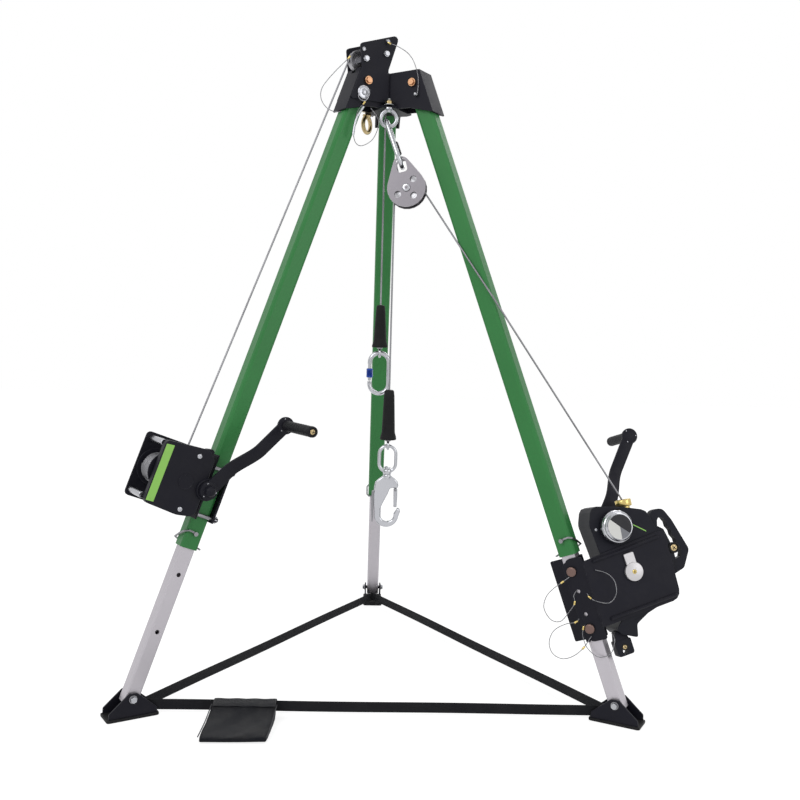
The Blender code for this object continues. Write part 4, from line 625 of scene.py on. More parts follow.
# %% Wire on the drum
DRUM_TURNS, DRUM_START, DRUM_END = 11, -0.0382, 0.0222
TURN_RADIUS = 0.0341
wound = []
for k in range(DRUM_TURNS * 36 + 1):
    angle = radians(10.0 * k)
    along = DRUM_START + (DRUM_END - DRUM_START) * k / (DRUM_TURNS * 36)
    wound.append(LEG["left"] @ Vector((along, DRUM_OUT + TURN_RADIUS * cos(angle),
                                       DRUM_AT + TURN_RADIUS * sin(angle))))
wound_wire, path = rope("wire_on_drum", wound, WIRE, rope_steel, "drum", step=0.005)
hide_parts("winch_drum_wire")
print("wire on the drum", round(length_of(path), 2), "m in", DRUM_TURNS, "turns")

# %% Arrest wire
BLOCK_AT = AXIS + Vector((0.0483, -0.105, 1.2372))
BLOCK_POSE = Euler((radians(-8.0), radians(-15.4), radians(-11.0)))
BLOCK = Matrix.Translation(BLOCK_AT) @ BLOCK_POSE.to_matrix().to_4x4()
BLOCK_SHEAVE = 0.031
normal = BLOCK_POSE.to_matrix().col[1]
block_side = normal.cross(Vector((0, 0, 1))).normalized()
block_rise = block_side.cross(normal)
GLAND = at(BLOCK_FACE, -0.040, 0.158, -1.1330, Euler((-0.10, 0.03, 0)).to_matrix().to_4x4())
over_leg = [LEG["right"] @ Vector(p) for p in ((0.0262, 0.0240, -0.565), (0.0262, -0.0240, -0.393))]
toward = over_leg[-1] - BLOCK_AT
flat = hypot(toward.dot(block_side), toward.dot(block_rise))
meet = degrees(atan2(toward.dot(block_rise), toward.dot(block_side)) + acos(BLOCK_SHEAVE / flat))
round_block = [BLOCK_AT + block_side * x + block_rise * z
               for x, z in arc((0, 0), BLOCK_SHEAVE, meet, 180.0, 12)]
leaving = [GLAND @ Vector((0, 0, -0.004)), GLAND @ Vector((0, 0, 0.010)), over_leg[0]]
rising = over_leg + [round_block[0]]
# Two lengths that meet where the wire lies on the tube.
for name, points, low_body, high_body, first, last in (
        ("arrest_wire_leaving", leaving, "leg_right_lower", "leg_right", leaving[1], over_leg[0]),
        ("arrest_wire_rising", rising, "leg_right", "root", over_leg[0], round_block[0])):
    made, path = rope(name, points, WIRE, rope_steel, None)
    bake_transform(made)
    print(name, round(length_of(path), 3), "m")
falling = round_block + [Vector((round_block[-1].x, round_block[-1].y, HOOK_TOP - INSIDE_HOOK_BOOT))]
arrest_falling, path = rope("arrest_wire_falling", falling, WIRE, rope_steel, None)
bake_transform(arrest_falling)
arrest_path = path
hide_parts("arrest_wire")
print("arrest wire", round(length_of(leaving) + length_of(rising) + length_of(falling), 3), "m")

# %% [markdown]
# ## Finishes on the solids
# Where a solid already has the real shape, such as a tube or a bent plate, it stays and only
# gets its finish. Its shading is smoothed across small angles, so that rounded corners look
# round, and its points are left alone.

# %% Dress the solids
def dress(material, *nodes):
    for name in nodes:
        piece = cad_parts[name]
        piece = piece if isinstance(piece, bpy.types.Object) else bpy.data.objects[name]
        mesh = piece.data
        mesh.materials.clear()
        mesh.materials.append(material)
        for face in mesh.polygons:
            face.use_smooth = True
            face.material_index = 0
        mesh.set_sharp_from_angle(angle=radians(32.0))


SIDES = ("left", "right", "rear")
dress(green, *[f"outer_tube_{side}" for side in SIDES])
dress(alloy, *[f"inner_tube_{side}" for side in SIDES])
dress(powder, "head_frame", "pulley_cheek_near", "pulley_cheek_far", "winch_frame", "winch_cover",
      "winch_clamp", "winch_drum", "winch_crank", "arrester_crank", "arrester_bracket",
      *[f"foot_{side}" for side in SIDES])
dress(plastic, "arrester_case", "arrester_anchor")
dress(grip_plastic, "winch_grip", "arrester_grip")
dress(cheek_steel, "block_cheek_front", "block_cheek_rear")
dress(steel, "front_eye", "sheave_bolt_outer", "sheave_bolt_inner", "block_carabiner",
      "hoist_carabiner", "swivel_ring", "snap_hook", "snap_gate",
      *[f"lock_pin_{side}" for side in SIDES])
dress(dull_steel, *[f"leg_pin_{side}" for side in SIDES])
dress(yellow_zinc, "side_eye")
dress(brown_zinc, "bracket_pin_upper", "bracket_pin_lower")
dress(copper_zinc, *[f"pivot_bolt_{side}" for side in SIDES])
dress(cast_alloy, "sheave_outer", "sheave_inner", "block_sheave")
dress(rubber_and_painted_shade, "hoist_boot", "hook_boot")
dress(blue, "hoist_carabiner_gate")
dress(black_sleeve_and_painted_reflection, "block_carabiner_gate")
dress(forged, "arrester_knob")
dress(lever_alloy, "arrester_lever")
dress(brass, "arrester_gland")
dress(webbing, "foot_strap")
dress(nylon, "strap_pouch")
print("dressed:", len(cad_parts))

# %% [markdown]
# ## Head: bolts, nuts, pins and sheaves
# The head is a bent plate with a bolt through each arm. On the real one the bolts have hexagon
# heads, the lock pins carry pull rings, and each sheave turns between two cheeks on a bolt.
# Turned pieces with many steps replace the coarse solids where a round edge shows.

# %% Eye bolts
HEAD_UNDER, EYE_RING, EYE_BAR = 1.438 - GAP, 0.0195, 0.0052
RING_AT = HEAD_UNDER - 0.006 - EYE_RING


def circle_points(radius, count, centre=(0.0, 0.0, 0.0)):
    return [(centre[0] + radius * cos(2 * pi * k / count), centre[1],
             centre[2] + radius * sin(2 * pi * k / count)) for k in range(count)]


def eye_bolt(name, x, y, turned_by, metal, node):
    place = Matrix.Translation(AXIS + Vector((x, y, 0))) @ Matrix.Rotation(turned_by, 4, "Z")
    ring = bar(name + "_ring", circle_points(EYE_RING, 40, (0, 0, RING_AT)), EYE_BAR, metal, "root",
               place, closed=True, sides=4, bend=False)
    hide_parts(node)
    low = HEAD_UNDER
    turned_piece(name + "_collar", [
        (0.0, low), (0.0108, low), (0.0112, low - 0.001), (0.0112, low - 0.0035), (0.0098, low - 0.005),
        (0.0072, low - 0.0078), (0.0062, low - 0.0115), (0.0, low - 0.0120),
    ], metal, "root", place)
    top = HEAD_UNDER + 0.006 + 2 * GAP
    turned_piece(name + "_washer", [(0.0, top), (0.0125, top), (0.0128, top + 0.0004),
                                    (0.0125, top + 0.0014), (0.0, top + 0.0014)], metal, "root", place)
    hex_piece(name + "_nut", 0.017, 0.0085, yellow_zinc, "root", at(place, 0, 0, top + 0.0014))
    threads = [(0.0, top + 0.004)]
    for k in range(7):
        threads += [(0.0052, top + 0.004 + 0.0018 * k), (0.0046, top + 0.0049 + 0.0018 * k)]
    threads.append((0.0, threads[-1][1]))
    turned_piece(name + "_thread", threads, metal, "root", place, 20)


eye_bolt("front_load_eye", 0.0, -0.060, 0.0, steel, "front_eye")
eye_bolt("side_load_eye", -0.054, 0.031, radians(62.0), yellow_zinc, "side_eye")

# %% Pivot bolts and lock pins
OUT = {"left": 0.0371, "right": 0.0328, "rear": 0.0328}
LOCK_DROP = 0.032
for side in SIDES:
    out = OUT[side]
    for sign in (-1, 1):
        facing_out = LEG[side] @ Matrix.Rotation(sign * pi / 2, 4, "Y")
        turned_piece(f"pivot_washer_{side}_{END[sign]}", [
            (0.0, 0.0062), (0.0095, 0.0062), (0.0102, 0.0056), (0.0102, 0.0), (0.0095, -0.0002),
            (0.0, -0.0002),
        ], copper_zinc, "root", facing_out @ Matrix.Translation((0, 0, out)))
        hex_piece(f"pivot_head_{side}_{END[sign]}", 0.0135, 0.0042, copper_zinc, "root",
                  facing_out @ Matrix.Translation((0, 0, out + 0.006)))
    inward = LEG[side] @ Matrix.Translation((0, 0, -LOCK_DROP)) @ Matrix.Rotation(-pi / 2, 4, "Y")
    turned_piece(f"lock_disc_{side}", [
        (0.0, out + 0.0085), (0.0058, out + 0.0085), (0.0070, out + 0.0076), (0.0074, out + 0.0050),
        (0.0140, out + 0.0048), (0.0160, out + 0.0040), (0.0170, out + 0.0025), (0.0170, out + 0.0003),
        (0.0162, out), (0.0, out),
    ], steel, f"pull_pin_{side}", inward, 40)
    bar(f"lock_ring_{side}", circle_points(0.0125, 28, (0.0, 0.0, -0.0105)), 0.0011, dull_steel,
        f"pull_pin_{side}", LEG[side] @ Matrix.Translation((-out - 0.0068, 0, -LOCK_DROP))
        @ Matrix.Rotation(radians(68), 4, "Z"), closed=True, bend=False)
    turned_piece(f"lock_tip_{side}", [
        (0.0, 0.0115), (0.0022, 0.0112), (0.0036, 0.0098), (0.0044, 0.0080), (0.0044, 0.0), (0.0, 0.0),
    ], steel, "root", LEG[side] @ Matrix.Translation((out - 0.0004, 0, -LOCK_DROP))
        @ Matrix.Rotation(pi / 2, 4, "Y"), 20)
print("bolts and pins on", SIDES)

# %% Sheaves in the pulley bracket
def spin_place(y, z):
    return ARM_LEFT @ Matrix.Translation((0, y, z)) @ Matrix.Rotation(pi / 2, 4, "Y")


for label, (out, high), body in (("outer", OUTER_SHEAVE, "lead_sheave_outer"),
                                 ("inner", INNER_SHEAVE, "lead_sheave_inner")):
    rim, half = 0.0260, 0.007
    groove = [(rim, half), (rim, 0.0038), (rim - 0.0026, 0.0022), (rim - 0.0040, 0.0),
              (rim - 0.0026, -0.0022), (rim, -0.0038), (rim, -half)]
    side_in = [(rim - 0.0045, -half), (rim - 0.0065, 0.0035 - half), (0.0112, 0.0035 - half),
               (0.0100, -half),
               (0.0056, -half)]
    side_out = [(r, -h) for r, h in reversed(side_in)]
    wheel = turned_piece(f"sheave_wheel_{label}", side_out + groove + side_in + [side_out[0]],
                         cast_alloy, body, spin_place(out, high), 48)
    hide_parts("sheave_" + label)
    for sign in (-1, 1):
        hex_piece(f"sheave_nut_{label}_{END[sign]}", 0.0115, 0.0048, steel, "root",
                  ARM_LEFT @ Matrix.Translation((sign * (0.0371 + 0.0030), out, high))
                  @ Matrix.Rotation(sign * pi / 2, 4, "Y"))
for k, (out, high) in enumerate(((0.096, 1.572), (0.028, 1.601))):
    for sign in (-1, 1):
        turned_piece(f"cheek_spacer_{k}_{END[sign]}", [
            (0.0, 0.0026), (0.0038, 0.0024), (0.0050, 0.0014), (0.0052, 0.0), (0.0, 0.0)],
            steel, "root", ARM_LEFT @ Matrix.Translation((sign * 0.0369, out, high))
            @ Matrix.Rotation(sign * pi / 2, 4, "Y"), 24)
print("sheaves turn about", [round(v, 3) for v in spin_place(*OUTER_SHEAVE).translation])

# %% [markdown]
# ## Hanging tackle
# The front eye carries a screwgate carabiner and a pulley block. The block has two pear-shaped
# steel cheeks, polished and pierced, round an alloy sheave. Both wires end in rubber boots over
# a thimble: one takes an oval carabiner, the other a swivel ring and a locking snap hook.

# %% Carabiners
BAR_RADIUS = 0.0055
THIMBLE_DROP, THIMBLE_RADIUS, THIMBLE_BAR = 0.0138, 0.0095, 0.0032
HOIST_BOOT_LONG, HOOK_BOOT_LONG, BOOT_WIDE = 0.108, 0.124, 0.0205
HOIST_HALF = 0.052
RING_BAR, RING_HALF = 0.0042, 0.0325


def oval(half_long, half_wide, nose, foot):
    """The line of a carabiner's bar, open on its gate side."""
    straight = half_long - half_wide
    line = [(half_wide, straight - nose), (half_wide, straight - nose * 0.4)]
    line += arc((0.0, straight), half_wide, 0.0, 180.0, 14)
    line += [(-half_wide, straight * k) for k in (0.6, 0.2, -0.2, -0.6)]
    line += arc((0.0, -straight), half_wide, 180.0, 360.0, 14)
    line += [(half_wide, foot * 0.4 - straight), (half_wide, foot - straight)]
    return [(x, 0.0, z) for x, z in line]


def knurled(low, high, radius, rings):
    """A sleeve's profile: turned ends and a band of fine rings for grip."""
    line = [(radius - 0.0016, high), (radius - 0.0004, high - 0.0012), (radius, high - 0.0030)]
    band_top, band_low = high - 0.0040, low + 0.0040
    step = (band_top - band_low) / rings
    for k in range(rings):
        line += [(radius - 0.0005, band_top - step * k), (radius, band_top - step * (k + 0.5))]
    return line + [(radius, low + 0.0030), (radius - 0.0004, low + 0.0012), (radius - 0.0016, low)]


def carabiner(label, place, half_long, half_wide, sleeve, body, gate_body, node, gate_node):
    link = bar(label + "_link", oval(half_long, half_wide, 0.004, 0.006), BAR_RADIUS, forged, body, place,
               sides=5, bend=False)
    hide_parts(node)
    straight = half_long - half_wide
    foot = 0.006 - straight + 0.0033
    length = straight - 0.004 - GAP - foot
    tip = BAR_RADIUS - 0.001
    stem_at = place @ Matrix.Translation((half_wide, 0, foot))
    gate = turned_piece(label + "_gate_stem", [(0.0, length), (tip, length), (tip, 0.003),
                                               (0.0032, -0.0015),
                                               (0.0, -0.0015)], forged, gate_body, stem_at, 32)
    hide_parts(gate_node)
    low, high = length * 0.16, length * 0.72
    turned_piece(label + "_gate_sleeve", [(0.0, high)] + knurled(low, high, BAR_RADIUS + 0.0028, 13)
                 + [(0.0, low)], sleeve, gate_body, stem_at, 40)
    turned_piece(label + "_gate_rivet", [(0.0, 0.0059), (0.0015, 0.0058), (0.0019, 0.0052),
                                         (0.0019, -0.0052),
                                         (0.0015, -0.0058), (0.0, -0.0059)], dull_steel, body,
                 place @ Matrix.Translation((half_wide, 0, 0.0045 - straight)) @ Matrix.Rotation(pi / 2, 4, "X"), 16)


swing_at = AXIS + Vector((0.0, -0.060, RING_AT - EYE_RING))
hang_up = BLOCK_POSE.to_matrix() @ Vector((0.0, 0.0, 0.0560))
low = BLOCK_AT + hang_up - swing_at
half_block = (low.length + EYE_BAR + BAR_RADIUS + 0.0036) / 2.0
middle = swing_at + low.normalized() * (low.length - half_block)
block_link = (Matrix.Translation(middle)
              @ Vector((0, 0, 1)).rotation_difference(-low).to_matrix().to_4x4()
              @ Matrix.Rotation(radians(79.0), 4, "Z"))
carabiner("block_screwgate", block_link, half_block, 0.0260, black_sleeve_and_painted_reflection, "block", "block_gate",
          "block_carabiner", "block_carabiner_gate")
HOIST = Matrix.Translation(AXIS + Vector((-0.0068, -0.0039, HOIST_TOP)))
HOOK = Matrix.Translation(Vector((round_block[-1].x, round_block[-1].y, HOOK_TOP)))
hoist_middle = (-HOIST_BOOT_LONG - THIMBLE_DROP - THIMBLE_RADIUS + THIMBLE_BAR + BAR_RADIUS + 2 * GAP
                - HOIST_HALF)
carabiner("hoist_screwgate", HOIST @ Matrix.Translation((0, 0, hoist_middle))
          @ Matrix.Rotation(pi, 4, "Z"), HOIST_HALF, 0.0245, blue, "hoist_hook", "hoist_gate",
          "hoist_carabiner", "hoist_carabiner_gate")

# %% Boots and thimbles
def boot(label, place, length, small, large, body, node):
    wall = [(0.0046, 0.0), (small - 0.004, 0.0002), (small - 0.0012, -0.0010), (small, -0.0040),
            (small + 0.0008, -0.012)]
    wall += [(small + 0.0012 + (large - small - 0.0052) * k / 10.0,
              -0.014 - (0.84 * length - 0.014) * k / 10.0)
             for k in range(11)]
    wall += [(large - 0.0030, -0.88 * length), (large - 0.0012, -0.93 * length),
             (large - 0.0002, -0.97 * length),
             (large - 0.0004, -0.99 * length), (large - 0.0020, -length), (0.0095, -length),
             (0.0085, 0.006 - length), (0.0, 0.006 - length)]
    sleeve = turned_piece(label + "_sleeve", wall, rubber_and_painted_shade, body, place, 40)
    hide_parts(node)
    ferrule = turned_piece(label + "_ferrule", [
        (0.0, 0.008 - length), (0.0070, 0.008 - length), (0.0074, 0.002 - length),
        (0.0072, -length - 0.0022),
        (0.0058, -length - 0.0040), (0.0, -length - 0.0042)], dull_steel, body, place, 28)
    centre = -length - THIMBLE_DROP
    loop = [(0.0, p[0], p[2] + centre) for p in circle_points(THIMBLE_RADIUS, 32)]
    bar(label + "_thimble", loop, THIMBLE_BAR, forged, body, place, closed=True, sides=4, bend=False)
    return sleeve, ferrule


hoist_boot, hoist_ferrule = boot("hoist_boot", HOIST, HOIST_BOOT_LONG, 0.0108, BOOT_WIDE, "hoist_hook",
                                 "hoist_boot")
hook_boot, hook_ferrule = boot("arrest_boot", HOOK, HOOK_BOOT_LONG, 0.0120, BOOT_WIDE, "arrest_end",
                               "hook_boot")
for wire, path, fitting in ((falling_wire, hoist_path, [hoist_boot, hoist_ferrule]),
                            (arrest_falling, arrest_path, [hook_boot, hook_ferrule])):
    print(wire.name, round(length_of(path), 3), "m to its boot")

# %% Swivel ring and snap hook
ring_at = -HOOK_BOOT_LONG - THIMBLE_DROP - THIMBLE_RADIUS + THIMBLE_BAR + RING_BAR + 2 * GAP - RING_HALF
ring_line = (arc((0.0, ring_at + 0.012), 0.0205, 0.0, 180.0, 16)
             + arc((0.0, ring_at - 0.012), 0.0205, 180.0, 360.0, 16))
swivel = bar("swivel_oval", [(x, 0.0, z) for x, z in ring_line], RING_BAR, forged, "arrest_end", HOOK,
             closed=True, sides=5, bend=False)
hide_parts("swivel_ring")
low = ring_at - RING_HALF
turned_piece("swivel_collar", [(0.0055, low + 0.0065), (0.0095, low + 0.0062), (0.0105, low + 0.0050),
                               (0.0108, low), (0.0105, low - 0.0050), (0.0095, low - 0.0062),
                               (0.0055, low - 0.0065), (0.0055, low + 0.0065)], forged, "arrest_end",
                               HOOK, 36)
hook_top = low - 0.0065 - 0.0005 - 0.0035
HANG = HOOK @ Matrix.Translation((0, 0, hook_top))
turned_piece("snap_hook_shank", [
    (0.0, 0.0238), (0.0060, 0.0236), (0.0078, 0.0225), (0.0082, 0.0190), (0.0050, 0.0186), (0.0050, 0.0035),
    (0.0090, 0.0034), (0.0100, 0.0020), (0.0100, -0.0055), (0.0080, -0.0080), (0.0, -0.0085),
], forged, "arrest_hook", HANG, 36)
outer = [(-0.010, 0.0), (-0.022, -0.009), (-0.029, -0.016), (-0.0316, -0.030), (-0.0320, -0.050),
         (-0.0315, -0.070), (-0.0295, -0.092)]
outer += arc((0.000, -0.098), 0.0305, 192.0, 352.0, 20)
outer += [(0.0345, -0.090), (0.0345, -0.086), (0.0330, -0.082), (0.0300, -0.0805), (0.0265, -0.0815),
          (0.0250, -0.0840)]
inner = arc((0.002, -0.098), 0.0165, 12.0, -170.0, 18)
inner += [(-0.0150, -0.082), (-0.010, -0.070), (-0.002, -0.054), (0.003, -0.044), (0.0065, -0.034),
          (0.0090, -0.0310), (0.0130, -0.0300), (0.0270, -0.0300), (0.0290, -0.0240), (0.0275, -0.0150),
          (0.020, -0.007), (0.010, 0.0)]
hook = cut_plate("snap_hook_forging", [(x, z) for x, z in outer + inner], -0.0065, 0.0065, forged,
                 "arrest_hook", HANG @ Matrix.Rotation(-pi / 2, 4, "Z"), 0.0026)
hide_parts("snap_hook")
gate_place = HANG @ Matrix.Translation((0.0215, 0, -0.0345)) @ Matrix.Rotation(-pi / 2, 4, "Z")
gate = cut_plate("snap_hook_gate", [(0.0036, 0.0036), (-0.0036, 0.0036), (-0.0045, 0.001),
                                    (-0.0042, -0.024),
                                    (-0.0038, -0.0425), (-0.0028, -0.0438), (0.0030, -0.0438),
                                    (0.0040, -0.0425), (0.0053, -0.020), (0.0050, 0.001)],
                 -0.0050, 0.0050, steel, "arrest_gate", gate_place, 0.0018)
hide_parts("snap_gate")
lever_place = HANG @ Matrix.Translation((-0.0350, 0, -0.058)) @ Matrix.Rotation(-pi / 2, 4, "Z")
cut_plate("snap_hook_lock_lever", [(0.0036, 0.0190), (0.0026, 0.0204), (-0.0010, 0.0204), (-0.0022, 0.0185),
                                   (-0.0032, 0.0), (-0.0030, -0.020), (-0.0020, -0.040), (-0.0012, -0.0575),
                                   (0.0018, -0.0575), (0.0026, -0.040), (0.0032, -0.020), (0.0038, 0.0)],
          -0.0048, 0.0048, dull_steel, "arrest_hook", lever_place, 0.0009)
for label, x, z, size in (("gate", 0.0215, -0.0345, 0.0034), ("lever", -0.0335, -0.040, 0.0026)):
    turned_piece(f"snap_hook_{label}_pin", [(0.0, 0.0074), (size * 0.7, 0.0072), (size, 0.0064),
                                            (size, -0.0064),
                                            (size * 0.7, -0.0072), (0.0, -0.0074)], dull_steel,
                                            "arrest_hook",
                 HANG @ Matrix.Translation((x, 0, z)) @ Matrix.Rotation(pi / 2, 4, "X"), 24)
print("hook bowl at", [round(v, 3) for v in HANG @ Vector((0, 0, -0.098))])

# %% [markdown]
# ## Pulley block and feet
# The block's sheave is a turned wheel with a deep groove, so that the wire can't jump out. Each
# foot is a folded shoe on a bolt, with a rubber sole that grips the ground. Only the round and
# soft details are made here, because the folded plates are already true in the solids.

# %% Block wheel and foot details
def rounded_outline(corners, steps=5):
    """An outline with every corner turned to its radius, from (y, z, radius)."""
    out = []
    for k, (y, z, radius) in enumerate(corners):
        here = Vector((y, z))
        before = Vector(corners[k - 1][:2]) - here
        after = Vector(corners[(k + 1) % len(corners)][:2]) - here
        half = before.angle(after) / 2.0
        reach = min(radius * cos(half) / sin(half), before.length * 0.48, after.length * 0.48)
        radius = reach * sin(half) / cos(half)
        middle = here + (before.normalized() + after.normalized()).normalized() * (radius / sin(half))
        first = here + before.normalized() * reach - middle
        last = here + after.normalized() * reach - middle
        turn = atan2(first.x * last.y - first.y * last.x, first.dot(last))
        out += [tuple(middle + Matrix.Rotation(turn * n / steps, 2) @ first) for n in range(steps + 1)]
    return out


def along_x(matrix, x, y, z, sign=1):
    """A place whose local z runs along the matrix's own x, one way or the other."""
    return matrix @ Matrix.Translation((x, y, z)) @ Matrix.Rotation(sign * pi / 2, 4, "Y")


block_axis = BLOCK @ Matrix.Rotation(pi / 2, 4, "X")
groove = [(0.0340, 0.0045), (0.0312, 0.0031), (0.0290, 0.0018), (0.0281, 0.0)]
half = [(0.0065, 0.008), (0.0110, 0.008), (0.0130, 0.0065), (0.0285, 0.0065), (0.0310, 0.0080),
        (0.0340, 0.0080)]
rim = half + groove
rim += [(r, -h) for r, h in reversed(groove[:-1])] + [(r, -h) for r, h in reversed(half)] + [half[0]]
wheel = turned_piece("block_wheel_turned", rim, cast_alloy, "block_wheel", block_axis, 64)
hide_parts("block_sheave")
for sign in (-1, 1):
    face = block_axis @ Matrix.Rotation(0 if sign > 0 else pi, 4, "X")
    turned_piece(f"block_axle_head_{END[sign]}", [
        (0.0, 0.0152), (0.0040, 0.0152), (0.0046, 0.0160), (0.0078, 0.0160), (0.0092, 0.0152),
        (0.0098, 0.0138), (0.0098, 0.0125), (0.0, 0.0125)], forged, "block", face, 40)

for side in SIDES:
    foot = LEG[side] @ Matrix.Translation((0, 0, -FOOT_PIN_DROP)) @ Matrix.Rotation(-LEAN, 4, "X")
    flat_down = foot @ Matrix.Rotation(-pi / 2, 4, "Y")
    sole = rounded_outline([(-0.0604, -0.0294, 0.006), (0.0604, -0.0294, 0.006),
                            (0.0604, 0.0294, 0.006), (-0.0604, 0.0294, 0.006)], 6)
    cut_plate(f"sole_{side}", sole, -0.0450, -0.0388, rubber_and_painted_shade, "shoe_" + side, flat_down, 0.0012)
    for sign in (-1, 1):
        turned_piece(f"foot_washer_{side}_{END[sign]}", [
            (0.0, 0.0012), (0.0090, 0.0012), (0.0094, 0.0008), (0.0094, 0.0), (0.0, 0.0)],
            dull_steel, "shoe_" + side, along_x(foot, sign * 0.0256, 0, 0, sign), 28)
        hex_piece(f"foot_nut_{side}_{END[sign]}", 0.0135, 0.0062, steel, "shoe_" + side,
                  along_x(foot, sign * 0.0267, 0, 0, sign))
print("three feet soled")

# %% [markdown]
# ## Hoisting winch
# A drum turns between a back plate and a flat gear cover, held apart by plated tubes. The crank
# is a flat bar set over by two bends, so it's lofted from sections along its length, and its
# grip is a turned sleeve that spins on a screw.

# %% Winch cover, drum and rods
WINCH = LEG["left"]
cover = cut_plate("winch_gear_cover", rounded_outline([
    (0.037, -1.128, 0.016), (0.080, -1.135, 0.060), (0.161, -1.129, 0.010), (0.162, -0.984, 0.012),
    (0.056, -0.974, 0.014), (0.037, -0.994, 0.014)], 7), -0.0713, -0.0503, powder, "leg_left", WINCH,
    0.0026)
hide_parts("winch_cover")
turned_piece("crank_bearing", [
    (0.0, 0.0776), (0.0236, 0.0776), (0.0247, 0.0766), (0.0250, 0.0745), (0.0262, 0.0718), (0.0262, 0.0690),
    (0.0, 0.0690)], powder, "leg_left", along_x(WINCH, 0, 0.033, -1.061, -1), 56)
turned_piece("cover_boss", [
    (0.0, 0.0722), (0.0150, 0.0722), (0.0156, 0.0729), (0.0172, 0.0729), (0.0180, 0.0722), (0.0180, 0.0690),
    (0.0, 0.0690)], powder, "leg_left", along_x(WINCH, 0, 0.086, -1.059, -1), 48)
drum_side = [(0.0070, 0.0490), (0.0428, 0.0490), (0.0435, 0.0483), (0.0435, 0.0467), (0.0428, 0.0460),
             (0.0305, 0.0460)]
drum_far = [(0.0305, -0.0300), (0.0428, -0.0300), (0.0435, -0.0307), (0.0435, -0.0323), (0.0428, -0.0330),
            (0.0070, -0.0330)]
drum_piece = turned_piece("winch_drum_turned", [(0.0, 0.0550), (0.0070, 0.0550)] + drum_side + drum_far
                          + [(0.0070, -0.0370), (0.0, -0.0370)], powder, "drum",
                          along_x(WINCH, 0, DRUM_OUT, DRUM_AT, -1), 64)
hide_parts("winch_drum")
for k, (out, high) in enumerate(((0.158, -0.992), (0.163, -1.117))):
    turned_piece(f"spacer_tube_{k}", [
        (0.0, 0.0500), (0.0068, 0.0500), (0.0074, 0.0494), (0.0074, -0.0332), (0.0068, -0.0338),
        (0.0, -0.0338)],
        steel, "leg_left", along_x(WINCH, 0, out, high, -1), 32)
    hex_piece(f"spacer_nut_{k}", 0.012, 0.0045, steel, "leg_left", along_x(WINCH, 0.0380, out, high, 1))

# %% Winch screws, clamp and strip
COVER_SCREWS = ((0.0765, -0.9950), (0.0765, -1.1205))
STRIP_CORNERS = ((0.1408, -0.9905), (0.1594, -0.9925), (0.1594, -1.1235), (0.1412, -1.1225))
CLIP = (0.0514, -0.9765)


def pan_head(name, place, radius, material, body, tall=0.0028):
    """A low round screw head with a driver's recess."""
    turned_piece(name, [
        (0.0, tall * 0.25), (radius * 0.38, tall * 0.30), (radius * 0.44, tall),
        (radius * 0.72, tall * 0.97),
        (radius * 0.94, tall * 0.62), (radius, tall * 0.15), (radius, 0.0), (0.0, 0.0)], material, body,
        place, 28)


def crosshead(name, place, radius, material, body, tall=0.0026):
    """A domed screw with a cross cut in it, the shade in the cut painted as two dark bars on the dome."""
    turned_piece(name, [(0.0, tall), (radius * 0.55, tall * 0.88), (radius * 0.90, tall * 0.5),
                        (radius, 0.0),
                        (0.0, 0.0)], material, body, place, 28)
    # Painted shade: each bar is a thin plate in the black rubber finish, laid where the cross recess would be dark.
    for k in range(2):
        turn = place @ Matrix.Rotation(radians(35 + 90 * k), 4, "Z") @ Matrix.Rotation(-pi / 2, 4, "Y")
        cut_plate(f"{name}_painted_shade_{k}", [(-radius * 0.11, -radius * 0.6), (radius * 0.11, -radius * 0.6),
                                      (radius * 0.11, radius * 0.6), (-radius * 0.11, radius * 0.6)],
                  tall * 0.70, tall * 1.02, rubber_and_painted_shade, body, turn, 0.0001)


for k, (out, high) in enumerate(COVER_SCREWS):
    pan_head(f"cover_screw_{k}", along_x(WINCH, -0.0712, out, high, -1), 0.0060, steel, "leg_left")
cut_plate("winch_strip", rounded_outline([(*corner, 0.0012) for corner in STRIP_CORNERS], 3),
          -0.0716, -0.0710, lime, "leg_left", WINCH, 0.0001)
cut_plate("cover_clip", rounded_outline([
    (CLIP[0] - 0.009, CLIP[1] - 0.006, 0.002), (CLIP[0] + 0.008, CLIP[1] - 0.006, 0.002),
    (CLIP[0] + 0.009, CLIP[1] + 0.003, 0.003), (CLIP[0] - 0.004, CLIP[1] + 0.006, 0.003),
    (CLIP[0] - 0.010, CLIP[1] + 0.002, 0.002)]), -0.0620, -0.0420, plastic, "leg_left", WINCH, 0.001)
for k, x in enumerate((-0.029, 0.029)):
    for n, high in enumerate((-1.122, -1.008)):
        rod = WINCH @ Matrix.Translation((x, 0, high)) @ Matrix.Rotation(pi / 2, 4, "X")
        thread_line = [(0.0, 0.0385)]
        for step in range(9):
            thread_line += [(0.0047, 0.0380 - 0.0012 * step), (0.0042, 0.0374 - 0.0012 * step)]
        thread_line += [(0.0047, 0.0270), (0.0047, -0.0210), (0.0, -0.0210)]
        turned_piece(f"clamp_rod_{k}_{n}", thread_line, dull_steel, "leg_left", rod, 20)
        hex_piece(f"clamp_rod_nut_{k}_{n}", 0.0132, 0.0066, steel, "leg_left",
                  rod @ Matrix.Translation((0, 0, 0.0285)))

# %% Cranks and grips
WINCH_REACH, RESCUE_REACH, CRANK_SET_OVER = 0.223, 0.256, -0.045


